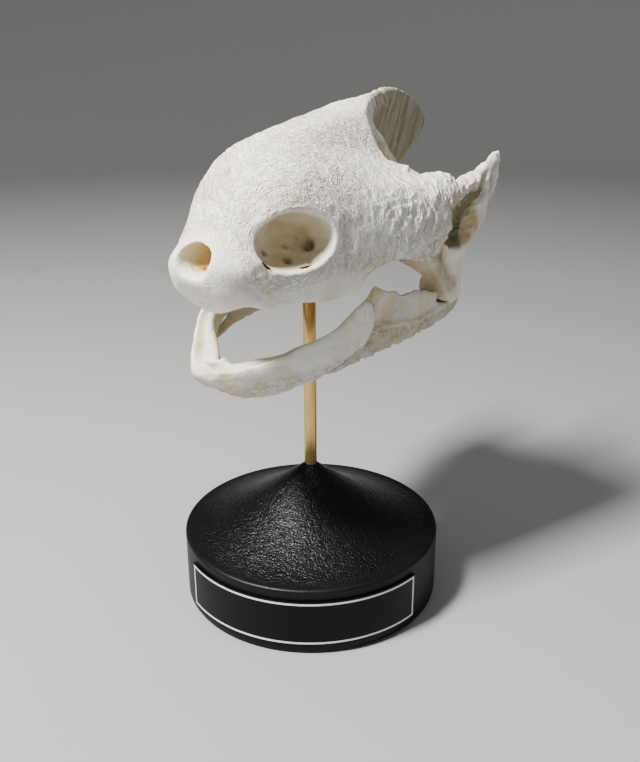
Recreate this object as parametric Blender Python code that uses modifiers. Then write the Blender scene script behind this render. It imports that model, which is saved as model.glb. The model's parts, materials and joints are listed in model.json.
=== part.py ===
# Snapping turtle skull on a brass rod and a black turned base.
# Skull sizes are in millimetres along three skull directions:
#   back  distance behind the tip of the snout
#   out   distance to the animal's left of the middle plane
#   up    height above the biting edge of the upper jaw
# The skull is built in that frame and set on the rod by one empty.

import math
from collections import namedtuple

import bmesh
import bpy
import numpy as np
from mathutils import Euler, Matrix, Vector

MM = 0.001
GAP = 0.3

# Stand
BASE_RADIUS = 49.0
DRUM_HEIGHT = 25.9
CONE_HEIGHT = 27.0
CONE_CURVE = 1.5
EDGE_ROUND = 0.9
FOOT_CHAMFER = 0.8
ROD_RADIUS = 2.35
ROD_SINK = 18.0
LABEL_LOW = 4.0
LABEL_HIGH = 22.0
LABEL_THICK = 0.8
LABEL_LEFT = -61.0
LABEL_RIGHT = 49.5

# How the skull sits on the rod
SEAT_HEIGHT = 135.7
SEAT_BACK = 60.0
SEAT_UP = 8.3
SOCKET_DEPTH = 9.0
YAW = -125.7
NOSE_DOWN = 7.7
LEAN = -3.8

# Skull dome: one row for each place where the outline turns
Dome = namedtuple("Dome", "back crown wide wide_up edge_out edge_up flank palate square")
DOME = (
    Dome(0.0, 24.0, 6.2, 21.0, 4.5, 18.0, 0.00, 17.8, 1.9),
    Dome(1.5, 26.0, 9.4, 19.5, 8.0, 14.0, 0.00, 13.6, 1.8),
    Dome(4.0, 27.0, 12.4, 17.8, 10.6, 9.4, 0.00, 8.2, 1.75),
    Dome(8.0, 28.6, 14.8, 16.4, 13.0, 8.2, 0.00, 2.8, 1.75),
    Dome(11.0, 30.6, 16.2, 15.4, 14.9, 7.3, 0.00, 8.5, 1.85),
    Dome(15.0, 34.6, 18.3, 14.6, 17.8, 5.2, 0.00, 11.0, 2.0),
    Dome(19.0, 39.2, 20.2, 14.0, 19.8, 4.9, 0.00, 11.5, 2.15),
    Dome(24.5, 43.9, 22.6, 13.0, 22.2, 4.8, 0.00, 12.0, 2.3),
    Dome(35.0, 49.0, 26.8, 12.0, 26.4, 2.5, 0.00, 11.5, 2.2),
    Dome(47.5, 51.0, 31.1, 13.0, 30.3, 2.7, 0.05, 10.0, 2.2),
    Dome(51.0, 51.2, 32.3, 13.5, 31.4, 7.6, 0.08, 9.6, 2.2),
    Dome(62.0, 51.5, 37.0, 14.5, 35.9, 9.2, 0.20, 8.0, 2.1),
    Dome(75.0, 51.7, 41.3, 15.5, 40.0, 5.2, 0.32, 6.0, 2.0),
    Dome(84.0, 51.8, 43.2, 16.0, 42.0, 8.0, 0.36, 5.0, 2.0),
    Dome(101.0, 52.0, 43.2, 18.0, 42.0, 13.0, 0.38, 5.0, 2.0),
)
BEAK_THICK = 3.6
BEAK_SLOPE = 3.0
ROOF_THICK = 3.4
DOME_STEP = 1.6

# Temporal room under the roof, open behind and below
ROOM_FRONT = 49.0
ROOM_REAR = 105.0
ROOM_FLOOR = 11.0
PASSAGE_FRONT = 58.0
BRAINCASE_OUT = 8.2
PALATE_OUT = 13.5
ROOM_DEEP = 45.0

# Free edge of the roof seen from above, from the crest out to the horn
ROOF_EDGE = ((98.0, 2.2), (91.0, 5.0), (85.5, 8.2), (82.0, 11.6), (80.6, 16.5),
             (81.0, 22.0), (84.0, 28.0), (87.6, 33.0), (91.0, 37.0), (94.6, 41.0), (98.0, 47.0))

# Middle crest seen from the side
CREST = ((89.0, 49.5), (98.5, 52.2), (106.5, 52.4), (114.0, 51.7), (120.6, 50.0),
         (126.0, 47.4), (130.0, 44.6), (135.8, 39.8), (140.4, 34.8), (137.5, 30.7),
         (131.0, 27.6), (123.7, 24.8), (114.0, 20.5), (106.0, 18.0), (90.0, 29.0))
CREST_THICK = 3.4

# Squamosal horn: back, inner side, outer side, top and bottom
Horn = namedtuple("Horn", "back inner outer top low")
HORN = (
    Horn(80.0, 36.0, 41.5, 29.0, 15.0),
    Horn(88.0, 33.5, 43.2, 29.0, 8.0),
    Horn(95.0, 33.0, 43.2, 27.2, 5.8),
    Horn(104.0, 33.8, 42.4, 26.8, 5.2),
    Horn(112.0, 35.0, 41.4, 27.4, 5.4),
    Horn(118.0, 36.0, 40.6, 28.6, 7.0),
    Horn(123.0, 36.8, 39.9, 30.2, 11.0),
    Horn(126.0, 37.3, 39.4, 30.9, 18.0),
    Horn(128.3, 37.7, 38.9, 31.4, 26.5),
)

# Braincase and palate bar: back, half width, bottom and top
Core = namedtuple("Core", "back half low top")
BRAINCASE = (
    Core(46.0, 10.0, 7.0, 46.5),
    Core(58.0, 9.0, 6.0, 48.0),
    Core(73.0, 8.4, 4.6, 48.6),
    Core(87.0, 10.5, 3.0, 48.2),
    Core(96.0, 13.0, 2.5, 38.5),
    Core(104.0, 12.0, 2.6, 28.0),
    Core(110.5, 9.0, 3.6, 20.5),
)
PALATE_BAR = (
    Core(46.0, 13.5, 8.2, 13.5),
    Core(58.0, 13.5, 7.0, 11.5),
    Core(72.0, 12.0, 5.0, 9.5),
    Core(84.0, 13.0, 3.2, 8.5),
    Core(96.0, 14.0, 2.6, 9.0),
)
CONDYLE = (113.0, 0.0, 8.5)
CONDYLE_RADIUS = 4.6
MAGNUM = (110.5, 0.0, 17.5)
MAGNUM_SIZE = (11.0, 4.6, 4.0)

# Ear bar from the braincase out to the quadrate: out, half length, bottom and top
EAR_BAR_BACK = 98.5
EAR_BAR = ((8.0, 8.5, 5.0, 25.0), (20.0, 8.5, 6.0, 23.0), (30.0, 9.0, 4.0, 22.0), (38.0, 8.5, 5.0, 22.0))

# Quadrate pillar from the ear bar down to the jaw joint: up, back, out, half back, half out
PILLAR = ((9.0, 99.5, 37.0, 8.0, 5.6), (1.0, 99.2, 36.0, 6.4, 5.2), (-8.0, 98.6, 34.3, 5.0, 4.9),
          (-13.0, 98.2, 32.8, 5.0, 6.3))
JOINT_BACK = 98.0
JOINT_UP = -14.5
JOINT_RADIUS = 5.0
JOINT_INNER = 25.0
JOINT_OUTER = 39.0

# Wing of bone from the palate bar to the quadrate: out, back, low, top, half thickness
WING = ((9.0, 79.0, 3.0, 8.5, 2.6), (16.0, 84.0, 0.0, 9.0, 2.2), (23.0, 90.0, -6.0, 9.0, 2.0),
        (30.0, 95.5, -13.0, 8.0, 2.4))

# Hollows of the face: centre, half sizes and turn of each
ORBIT_CENTRE = (25.5, 21.5, 25.0)
ORBIT_HALF = (13.6, 13.0, 9.1)
ORBIT_TURN = (10.0, -7.0, -17.0)
NARIS_CENTRE = (2.5, 0.0, 22.3)
NARIS_HALF = (13.0, 6.2, 4.8)
EAR_CENTRE = (95.5, 47.5, 12.5)
EAR_HALF = (15.5, 13.5, 10.5)
EAR_TURN = (0.0, 30.0, 0.0)
CHOANA_CENTRE = (34.0, 5.5, 11.5)
CHOANA_HALF = (7.0, 3.2, 7.0)

# Lower jaw: its outer face from above, from the chin to the left hind end
Mark = namedtuple("Mark", "back value")
JAW_LINE = ((0.0, 0.0), (1.0, 4.0), (4.0, 8.0), (8.6, 12.2), (14.6, 16.7), (21.4, 21.2), (30.0, 25.4),
            (42.0, 29.0), (56.0, 31.4), (72.0, 33.4), (88.0, 35.3), (100.0, 36.8), (106.0, 37.2))
Rim = namedtuple("Rim", "back top low thick")
TOOTHBONE = (
    Rim(0.0, -13.4, -24.0, 13.0),
    Rim(4.0, -13.2, -25.4, 10.8),
    Rim(8.0, -13.0, -26.8, 9.2),
    Rim(16.5, -11.8, -26.8, 7.4),
    Rim(23.0, -9.5, -25.6, 6.2),
    Rim(30.0, -8.2, -25.2, 5.4),
    Rim(38.6, -6.6, -25.4, 5.0),
    Rim(47.5, -1.9, -25.9, 4.8),
    Rim(52.0, -0.8, -26.0, 5.0),
    Rim(58.0, -0.8, -26.4, 5.0),
)
HOOK_RISE = 2.9
HOOK_WIDE = 2.8
HOOK_BACK = 3.2
CHIN_BACK = 5.0
CHIN_WIDE = 11.5
HINDJAW = (
    Rim(30.0, -19.0, -24.4, 3.4),
    Rim(40.0, -14.0, -25.2, 4.2),
    Rim(48.0, -5.0, -25.9, 4.8),
    Rim(53.0, -0.4, -26.3, 5.0),
    Rim(56.4, 2.4, -26.6, 5.2),
    Rim(60.5, -1.2, -26.9, 5.3),
    Rim(68.0, -3.8, -27.5, 5.6),
    Rim(73.2, -8.3, -27.9, 6.2),
    Rim(77.0, -7.4, -28.2, 6.8),
    Rim(83.0, -9.3, -28.5, 8.0),
    Rim(91.0, -13.0, -28.5, 12.0),
    Rim(99.0, -15.0, -27.4, 12.5),
    Rim(105.5, -19.5, -24.6, 8.0),
)
HINDJAW_SINK = 0.9
JAW_SEAM = ((48.4, 12.0), (48.4, -0.6), (51.8, -3.4), (53.7, -8.0), (53.0, -13.5),
            (49.0, -17.6), (42.0, -20.6), (32.0, -23.6), (24.0, -33.0))

# Surface sizes: voxel edge and the triangles left in each bone
VOXEL = 0.9
JAW_STEP = 2.6
CRANIUM_TRIANGLES = 8200
TOOTHBONE_TRIANGLES = 1900
HINDJAW_TRIANGLES = 1000


def smooth_step(low, high, value):
    """Rise from 0 at low to 1 at high."""
    part = np.clip((value - low) / (high - low), 0.0, 1.0)
    return part * part * (3.0 - 2.0 * part)


def along(rows, field, back):
    """Value of one named size of a table of rows at a distance back, on a curve with no overshoot."""
    places = np.array([row.back for row in rows])
    values = np.array([getattr(row, field) for row in rows])
    steps = np.diff(places)
    slopes = np.diff(values) / steps
    tangents = np.zeros(len(values))
    for i in range(1, len(values) - 1):
        if slopes[i - 1] * slopes[i] > 0.0:
            weight_a = 2.0 * steps[i] + steps[i - 1]
            weight_b = steps[i] + 2.0 * steps[i - 1]
            tangents[i] = (weight_a + weight_b) / (weight_a / slopes[i - 1] + weight_b / slopes[i])
    tangents[0] = slopes[0]
    tangents[-1] = slopes[-1]
    back = float(np.clip(back, places[0], places[-1]))
    i = int(np.clip(np.searchsorted(places, back) - 1, 0, len(steps) - 1))
    t = (back - places[i]) / steps[i]
    return ((2 * t ** 3 - 3 * t ** 2 + 1) * values[i] + (t ** 3 - 2 * t ** 2 + t) * steps[i] * tangents[i]
            + (3 * t ** 2 - 2 * t ** 3) * values[i + 1] + (t ** 3 - t ** 2) * steps[i] * tangents[i + 1])


def skull_point(back, out, up):
    """Skull distances in millimetres to the skull's own frame in metres."""
    return Vector((-back * MM, out * MM, up * MM))


def new_object(name, mesh, group):
    piece = bpy.data.objects.new(name, mesh)
    group.objects.link(piece)
    return piece


def loft(name, rings, group):
    """A closed body through rings of equal count, each a list of (back, out, up)."""
    shape = bmesh.new()
    loops = [[shape.verts.new(skull_point(*point)) for point in ring] for ring in rings]
    count = len(loops[0])
    for first, second in zip(loops, loops[1:]):
        for i in range(count):
            j = (i + 1) % count
            shape.faces.new((first[i], first[j], second[j], second[i]))
    shape.faces.new(loops[0])
    shape.faces.new(list(reversed(loops[-1])))
    bmesh.ops.recalc_face_normals(shape, faces=shape.faces)
    mesh = bpy.data.meshes.new(name)
    shape.to_mesh(mesh)
    shape.free()
    return new_object(name, mesh, group)


def prism(name, outline, low, high, group, flat="side"):
    """An outline of (back, up) pushed sideways, or of (back, out) pushed upwards."""
    if flat == "side":
        rings = [[(back, out, up) for back, up in outline] for out in (low, high)]
    else:
        rings = [[(back, out, up) for back, out in outline] for up in (low, high)]
    return loft(name, rings, group)


def ball(name, centre, half, turn, group):
    """An ellipsoid with half sizes along back, out and up, turned in degrees."""
    shape = bmesh.new()
    bmesh.ops.create_uvsphere(shape, u_segments=32, v_segments=18, radius=1.0)
    sizes = Matrix.Diagonal((half[0] * MM, half[1] * MM, half[2] * MM, 1.0))
    angles = Euler([math.radians(angle) for angle in turn], "XYZ").to_matrix().to_4x4()
    place = Matrix.Translation(skull_point(*centre))
    bmesh.ops.transform(shape, matrix=place @ angles @ sizes, verts=shape.verts)
    mesh = bpy.data.meshes.new(name)
    shape.to_mesh(mesh)
    shape.free()
    return new_object(name, mesh, group)


def rod_shape(name, start, end, radius, group, segments=24):
    """A round bar between two points given in metres."""
    shape = bmesh.new()
    axis = end - start
    bmesh.ops.create_cone(shape, cap_ends=True, segments=segments, radius1=radius, radius2=radius,
                          depth=axis.length)
    turn = axis.to_track_quat("Z", "Y").to_matrix().to_4x4()
    place = Matrix.Translation((start + end) / 2.0)
    bmesh.ops.transform(shape, matrix=place @ turn, verts=shape.verts)
    mesh = bpy.data.meshes.new(name)
    shape.to_mesh(mesh)
    shape.free()
    return new_object(name, mesh, group)


def flip_side(piece, name, group):
    """A copy on the other side of the middle plane, facing out."""
    mesh = piece.data.copy()
    mesh.transform(Matrix.Diagonal((1.0, -1.0, 1.0, 1.0)))
    mesh.flip_normals()
    return new_object(name, mesh, group)


def bake(piece):
    """Apply every modifier of a piece to its mesh."""
    bpy.context.view_layer.update()
    graph = bpy.context.evaluated_depsgraph_get()
    mesh = bpy.data.meshes.new_from_object(piece.evaluated_get(graph))
    old = piece.data
    piece.modifiers.clear()
    piece.data = mesh
    bpy.data.meshes.remove(old)


def cut(piece, cutters, operation="DIFFERENCE"):
    """Boolean a piece with each cutter in turn and remove the cutters."""
    for cutter in cutters:
        step = piece.modifiers.new("cut", "BOOLEAN")
        step.operation = operation
        step.solver = "EXACT"
        step.object = cutter
        bake(piece)
        bpy.data.objects.remove(cutter)


def join(piece, others):
    """Put the meshes of other bodies into a piece."""
    shape = bmesh.new()
    shape.from_mesh(piece.data)
    for other in others:
        shape.from_mesh(other.data)
        bpy.data.objects.remove(other)
    shape.to_mesh(piece.data)
    shape.free()


def fuse(piece, voxel, smoothing):
    """Fuse overlapping bodies into one skin of small even faces."""
    skin = piece.modifiers.new("fuse", "REMESH")
    skin.mode = "VOXEL"
    skin.voxel_size = voxel * MM
    if smoothing:
        soften = piece.modifiers.new("soften", "SMOOTH")
        soften.factor = 0.5
        soften.iterations = smoothing
    bake(piece)


def keep_largest(piece):
    """Keep the largest closed surface of a piece."""
    shape = bmesh.new()
    shape.from_mesh(piece.data)
    left = set(shape.verts)
    best = set()
    while left:
        seed = left.pop()
        group = {seed}
        border = [seed]
        while border:
            vertex = border.pop()
            for edge in vertex.link_edges:
                other = edge.other_vert(vertex)
                if other not in group:
                    group.add(other)
                    border.append(other)
        left -= group
        if len(group) > len(best):
            best = group
    bmesh.ops.delete(shape, geom=[vertex for vertex in shape.verts if vertex not in best], context="VERTS")
    shape.to_mesh(piece.data)
    shape.free()


def thin_out(piece, triangles):
    """Reduce a piece to about a number of triangles."""
    piece.data.calc_loop_triangles()
    few = piece.modifiers.new("few", "DECIMATE")
    few.ratio = triangles / len(piece.data.loop_triangles)
    few.use_collapse_triangulate = True
    bake(piece)
    keep_largest(piece)


def dome_half(back, inset=0.0, count=22):
    """Half of the dome's outline at one section, from the crown to the lower edge."""
    crown = along(DOME, "crown", back) - inset
    wide = along(DOME, "wide", back) - inset
    wide_up = along(DOME, "wide_up", back)
    edge_out = along(DOME, "edge_out", back) - inset
    edge_up = along(DOME, "edge_up", back)
    flank = along(DOME, "flank", back)
    square = along(DOME, "square", back)
    points = []
    for i in range(count):
        angle = 0.5 * math.pi * i / count
        part = math.sin(angle)
        rise = (1.0 - part ** square) ** (1.0 / square)
        hollow = flank * smooth_step(0.12, 0.5, part) * (1.0 - smooth_step(0.68, 1.0, part))
        points.append((wide * part, wide_up + (crown - wide_up) * rise * (1.0 - hollow)))
    steps = 6
    for i in range(steps + 1):
        part = i / steps
        points.append((wide - (wide - edge_out) * part * part, wide_up - (wide_up - edge_up) * part))
    return points


def dome_ring(back):
    """The whole section of the solid dome, with the vault of the palate below."""
    half = dome_half(back)
    edge_out, edge_up = half[-1]
    palate = along(DOME, "palate", back)
    vaulted = float(smooth_step(8.0, 10.5, back))
    start = vaulted * BEAK_THICK / edge_out
    end = 1.0 + vaulted * ((BEAK_THICK + BEAK_SLOPE) / edge_out - 1.0)
    bottom = []
    steps = 14
    for i in range(1, steps + 1):
        part = i / steps
        rise = float(smooth_step(start, end, part)) if vaulted > 0.0 else math.sin(0.5 * math.pi * part)
        bottom.append((edge_out * (1.0 - part), edge_up + (palate - edge_up) * rise))
    left = half + bottom
    right = [(-out, up) for out, up in reversed(left[1:-1])]
    return [(back, out, up) for out, up in left + right]


def room_rings(front, rear, inner, floor):
    """Sections of the room between the braincase and the side of the dome."""
    rings = []
    steps = int((rear - front) / DOME_STEP)
    for i in range(steps + 1):
        back = front + (rear - front) * i / steps
        half = dome_half(back, ROOF_THICK)
        outs = [point[0] for point in half[:22]]
        ups = [point[1] for point in half[:22]]
        wide = half[22][0]
        side = [(inner + (wide - inner) * k / 14.0) for k in range(15)]
        top = [(out, float(np.interp(out, outs + [wide], ups + [half[22][1]]))) for out in side]
        below = [(wide - 0.4, min(half[22][1] - 2.0, floor + 1.0)), (wide - 0.6, floor), (inner, floor)]
        rings.append([(back, out, up) for out, up in top + below])
    return rings


def box_ring(back, half_out, low, top, centre_out=0.0, power=3.2, count=28):
    """A rounded box section across the skull."""
    middle = (low + top) / 2.0
    half_up = (top - low) / 2.0
    ring = []
    for i in range(count):
        angle = 2.0 * math.pi * i / count
        cosine = math.cos(angle)
        sine = math.sin(angle)
        out = math.copysign(abs(cosine) ** (2.0 / power), cosine) * half_out
        up = math.copysign(abs(sine) ** (2.0 / power), sine) * half_up
        ring.append((back, centre_out + out, middle + up))
    return ring


def core_body(name, rows, group):
    steps = 18
    rings = []
    for i in range(steps + 1):
        back = rows[0].back + (rows[-1].back - rows[0].back) * i / steps
        rings.append(box_ring(back, along(rows, "half", back), along(rows, "low", back),
                              along(rows, "top", back)))
    return loft(name, rings, group)


def horn_body(name, group):
    steps = 20
    rings = []
    for i in range(steps + 1):
        back = HORN[0].back + (HORN[-1].back - HORN[0].back) * i / steps
        inner = along(HORN, "inner", back)
        outer = along(HORN, "outer", back)
        rings.append(box_ring(back, (outer - inner) / 2.0, along(HORN, "low", back),
                              along(HORN, "top", back), (inner + outer) / 2.0, 2.6))
    return loft(name, rings, group)


def ear_bar_body(name, group):
    rings = []
    for out, half_back, low, top in EAR_BAR:
        ring = box_ring(0.0, half_back, low, top, 0.0, 2.8)
        rings.append([(EAR_BAR_BACK + side, out, up) for _, side, up in ring])
    return loft(name, rings, group)


def pillar_body(name, group):
    rings = []
    for up, back, out, half_back, half_out in PILLAR:
        ring = box_ring(0.0, half_out, -half_back, half_back, 0.0, 2.6)
        rings.append([(back + length, out + side, up) for _, side, length in ring])
    return loft(name, rings, group)


def wing_body(name, group):
    rings = []
    for out, back, low, top, half in WING:
        ring = box_ring(0.0, half, low, top, 0.0, 2.8)
        rings.append([(back + side, out, up) for _, side, up in ring])
    return loft(name, rings, group)


def both_sides(maker, name, group):
    left = maker(name + "_left", group)
    return [left, flip_side(left, name + "_right", group)]


def make_cranium(parts, cutters):
    """Upper skull: a hollow dome with its crest, horns, braincase and jaw joints."""
    steps = int((DOME[-1].back - DOME[0].back) / DOME_STEP)
    backs = [0.0, 0.5, 1.2] + [DOME_STEP + (DOME[-1].back - DOME_STEP) * i / steps for i in range(steps + 1)]
    cranium = loft("cranium", [dome_ring(back) for back in backs], parts)

    upper = loft("upper_room", room_rings(ROOM_FRONT, ROOM_REAR, BRAINCASE_OUT, ROOM_FLOOR), cutters)
    lower = loft("lower_room", room_rings(PASSAGE_FRONT, ROOM_REAR, PALATE_OUT, -ROOM_DEEP), cutters)
    edge = list(ROOF_EDGE) + [(150.0, 60.0), (150.0, 2.2)]
    notch = prism("roof_notch", edge, 18.0, 80.0, cutters, "top")
    halves = [upper, lower, notch]
    mirrored = [flip_side(piece, piece.name + "_right", cutters) for piece in halves]
    cut(cranium, halves + mirrored)

    added = both_sides(horn_body, "horn", cutters)
    added += both_sides(ear_bar_body, "ear_bar", cutters)
    added += both_sides(pillar_body, "pillar", cutters)
    added += both_sides(wing_body, "wing", cutters)
    added.append(core_body("braincase", BRAINCASE, cutters))
    added.append(core_body("palate_bar", PALATE_BAR, cutters))
    added.append(prism("crest", CREST, -CREST_THICK / 2.0, CREST_THICK / 2.0, cutters))
    added.append(ball("condyle", CONDYLE, (CONDYLE_RADIUS,) * 3, (0.0, 0.0, 0.0), cutters))
    for side in (1.0, -1.0):
        start = skull_point(JOINT_BACK, side * JOINT_INNER, JOINT_UP)
        end = skull_point(JOINT_BACK, side * JOINT_OUTER, JOINT_UP)
        added.append(rod_shape("joint", start, end, JOINT_RADIUS * MM, cutters))
    join(cranium, added)
    fuse(cranium, VOXEL, 1)

    hollows = [ball("naris", NARIS_CENTRE, NARIS_HALF, (0.0, 0.0, 0.0), cutters),
               ball("magnum", MAGNUM, MAGNUM_SIZE, (0.0, 0.0, 0.0), cutters)]
    for name, centre, half, turn in (("orbit", ORBIT_CENTRE, ORBIT_HALF, ORBIT_TURN),
                                     ("ear", EAR_CENTRE, EAR_HALF, EAR_TURN),
                                     ("choana", CHOANA_CENTRE, CHOANA_HALF, (0.0, 0.0, 0.0))):
        left = ball(name, centre, half, turn, cutters)
        hollows += [left, flip_side(left, name + "_right", cutters)]
    cut(cranium, hollows)
    fuse(cranium, VOXEL, 3)
    keep_largest(cranium)
    thin_out(cranium, CRANIUM_TRIANGLES)
    return cranium


def jaw_path(first, last, both):
    """Points (back, out) along the outer face of the jaw, about evenly spaced, left side positive."""
    line = np.array(JAW_LINE)
    lengths = np.concatenate([[0.0], np.cumsum(np.hypot(*np.diff(line, axis=0).T))])
    backs = tuple(Mark(length, point[0]) for length, point in zip(lengths, line))
    outs = tuple(Mark(length, point[1]) for length, point in zip(lengths, line))
    start = float(np.interp(first, line[:, 0], lengths))
    end = float(np.interp(last, line[:, 0], lengths))
    places = np.linspace(start, end, int((end - start) / JAW_STEP) + 1)
    left = [(along(backs, "value", place), along(outs, "value", place)) for place in places]
    if not both:
        return left
    return [(back, -out) for back, out in reversed(left[1:])] + left


def jaw_ring(back, out, normal, rows, sink, hooked):
    """One section of the lower jaw, square to its path."""
    top = along(rows, "top", back)
    low = along(rows, "low", back)
    thick = along(rows, "thick", back)
    chin = 0.0
    peak = 0.0
    if hooked:
        peak = math.exp(-(out / HOOK_WIDE) ** 2)
        chin = CHIN_BACK * math.exp(-(out / CHIN_WIDE) ** 2)
    top += HOOK_RISE * peak
    high = top - low
    section = ((-0.9 - HOOK_BACK * peak, 1.0), (-0.2 - 0.5 * HOOK_BACK * peak, 0.86), (0.0, 0.6),
               (-0.4 - 0.5 * chin, 0.3), (-1.4 - 0.9 * chin, 0.08), (-0.38 * thick - chin, 0.0),
               (-0.68 * thick - chin, 0.14), (-0.9 * thick - 0.5 * chin, 0.46), (-thick, 0.72),
               (-0.85 * thick, 0.84), (-0.5 * thick, 0.83), (-2.2, 0.9))
    ring = []
    for offset, part in section:
        shift = offset - sink
        ring.append((back + normal[0] * shift, out + normal[1] * shift, low + high * part))
    return ring


def jaw_body(name, path, rows, sink, hooked, group):
    rings = []
    for i, (back, out) in enumerate(path):
        before = path[max(i - 1, 0)]
        after = path[min(i + 1, len(path) - 1)]
        step = np.array([after[0] - before[0], after[1] - before[1]])
        step = step / np.linalg.norm(step)
        normal = (-step[1], step[0])
        rings.append(jaw_ring(back, out, normal, rows, sink, hooked))
    return loft(name, rings, group)


def seam_cutter(name, shift, group):
    """The region behind the seam between the front and hind bones of the lower jaw."""
    line = [Vector(point) for point in JAW_SEAM]
    outline = []
    for i, point in enumerate(line):
        along_seam = (line[min(i + 1, len(line) - 1)] - line[max(i - 1, 0)]).normalized()
        outline.append((point.x - along_seam.y * shift, point.y + along_seam.x * shift))
    outline += [(135.0, -60.0), (135.0, 20.0)]
    return prism(name, outline, -60.0, 60.0, group)


def make_lower_jaw(parts, cutters):
    """Lower jaw: one front bone and a hind part on each side, parted by thin seams."""
    front_path = jaw_path(0.0, TOOTHBONE[-1].back, True)
    front = jaw_body("dentary", front_path, TOOTHBONE, 0.0, True, parts)
    fuse(front, VOXEL * 0.8, 2)
    thin_out(front, TOOTHBONE_TRIANGLES)
    cut(front, [seam_cutter("front_seam", 0.0, cutters)])
    keep_largest(front)

    hind_path = jaw_path(HINDJAW[0].back, HINDJAW[-1].back, False)
    left = jaw_body("hindjaw_left", hind_path, HINDJAW, HINDJAW_SINK, False, parts)
    fuse(left, VOXEL * 0.8, 2)
    thin_out(left, HINDJAW_TRIANGLES)
    cut(left, [seam_cutter("hind_seam", GAP * 1.4, cutters)], "INTERSECT")
    start = skull_point(JOINT_BACK, JOINT_INNER - 2.5, JOINT_UP)
    end = skull_point(JOINT_BACK, JOINT_OUTER + 6.0, JOINT_UP)
    cut(left, [rod_shape("joint_room", start, end, (JOINT_RADIUS + 1.6 * GAP) * MM, cutters)])
    keep_largest(left)
    right = flip_side(left, "hindjaw_right", parts)
    return [front, left, right]


def turned(name, profile, group, steps=48):
    """A body turned about the upright axis, its profile listed top to bottom down the outer side."""
    mesh = bpy.data.meshes.new(name)
    points = [(radius * MM, 0.0, height * MM) for radius, height in profile]
    mesh.from_pydata(points, [(i, i + 1) for i in range(len(points) - 1)], [])
    piece = new_object(name, mesh, group)
    screw = piece.modifiers.new("turn", "SCREW")
    screw.axis = "Z"
    screw.angle = 2.0 * math.pi
    screw.steps = steps
    screw.render_steps = steps
    screw.use_merge_vertices = True
    screw.merge_threshold = 0.00001
    bake(piece)
    return piece


def cone_height(radius):
    """Height of the base's hollow-sided cone at a radius."""
    return DRUM_HEIGHT + CONE_HEIGHT * ((BASE_RADIUS - radius) / BASE_RADIUS) ** CONE_CURVE


def make_stand(parts):
    """Turned base with a blind hole, the rod in it, and the bent label plate."""
    hole = ROD_RADIUS + GAP
    neck = ROD_RADIUS + 1.6
    bottom = cone_height(neck) - ROD_SINK
    profile = [(0.0, bottom), (hole, bottom), (hole, cone_height(neck)), (neck, cone_height(neck))]
    for radius in (7.0, 11.0, 16.0, 22.0, 29.0, 37.0, 44.0):
        profile.append((radius, cone_height(radius)))
    profile += [(BASE_RADIUS - EDGE_ROUND, DRUM_HEIGHT + 0.25), (BASE_RADIUS, DRUM_HEIGHT - EDGE_ROUND),
                (BASE_RADIUS, FOOT_CHAMFER), (BASE_RADIUS - FOOT_CHAMFER, 0.0), (0.0, 0.0)]
    base = turned("stand_base", profile, parts)

    top = SEAT_HEIGHT + SOCKET_DEPTH - GAP
    rod = turned("stand_rod", [(0.0, top), (ROD_RADIUS, top), (ROD_RADIUS, bottom + GAP),
                               (0.0, bottom + GAP)], parts, 32)

    inner = BASE_RADIUS + GAP
    outer = inner + LABEL_THICK
    segments = 26
    shape = bmesh.new()
    loops = []
    for i in range(segments + 1):
        angle = math.radians(LABEL_LEFT + (LABEL_RIGHT - LABEL_LEFT) * i / segments)
        ring = []
        for radius, height in ((inner, LABEL_LOW), (outer, LABEL_LOW), (outer, LABEL_HIGH),
                               (inner, LABEL_HIGH)):
            ring.append(shape.verts.new((radius * math.sin(angle) * MM, -radius * math.cos(angle) * MM,
                                         height * MM)))
        loops.append(ring)
    for first, second in zip(loops, loops[1:]):
        for i in range(4):
            j = (i + 1) % 4
            shape.faces.new((first[i], first[j], second[j], second[i]))
    shape.faces.new(loops[0])
    shape.faces.new(list(reversed(loops[-1])))
    bmesh.ops.recalc_face_normals(shape, faces=shape.faces)
    mesh = bpy.data.meshes.new("stand_label")
    shape.to_mesh(mesh)
    shape.free()
    label = new_object("stand_label", mesh, parts)
    return [base, rod, label]


def finish(piece, colour, roughness, metallic):
    material = bpy.data.materials.new(piece.name)
    material.use_nodes = True
    shader = material.node_tree.nodes["Principled BSDF"]
    shader.inputs["Base Color"].default_value = (*colour, 1.0)
    shader.inputs["Roughness"].default_value = roughness
    shader.inputs["Metallic"].default_value = metallic
    piece.data.materials.clear()
    piece.data.materials.append(material)


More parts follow.
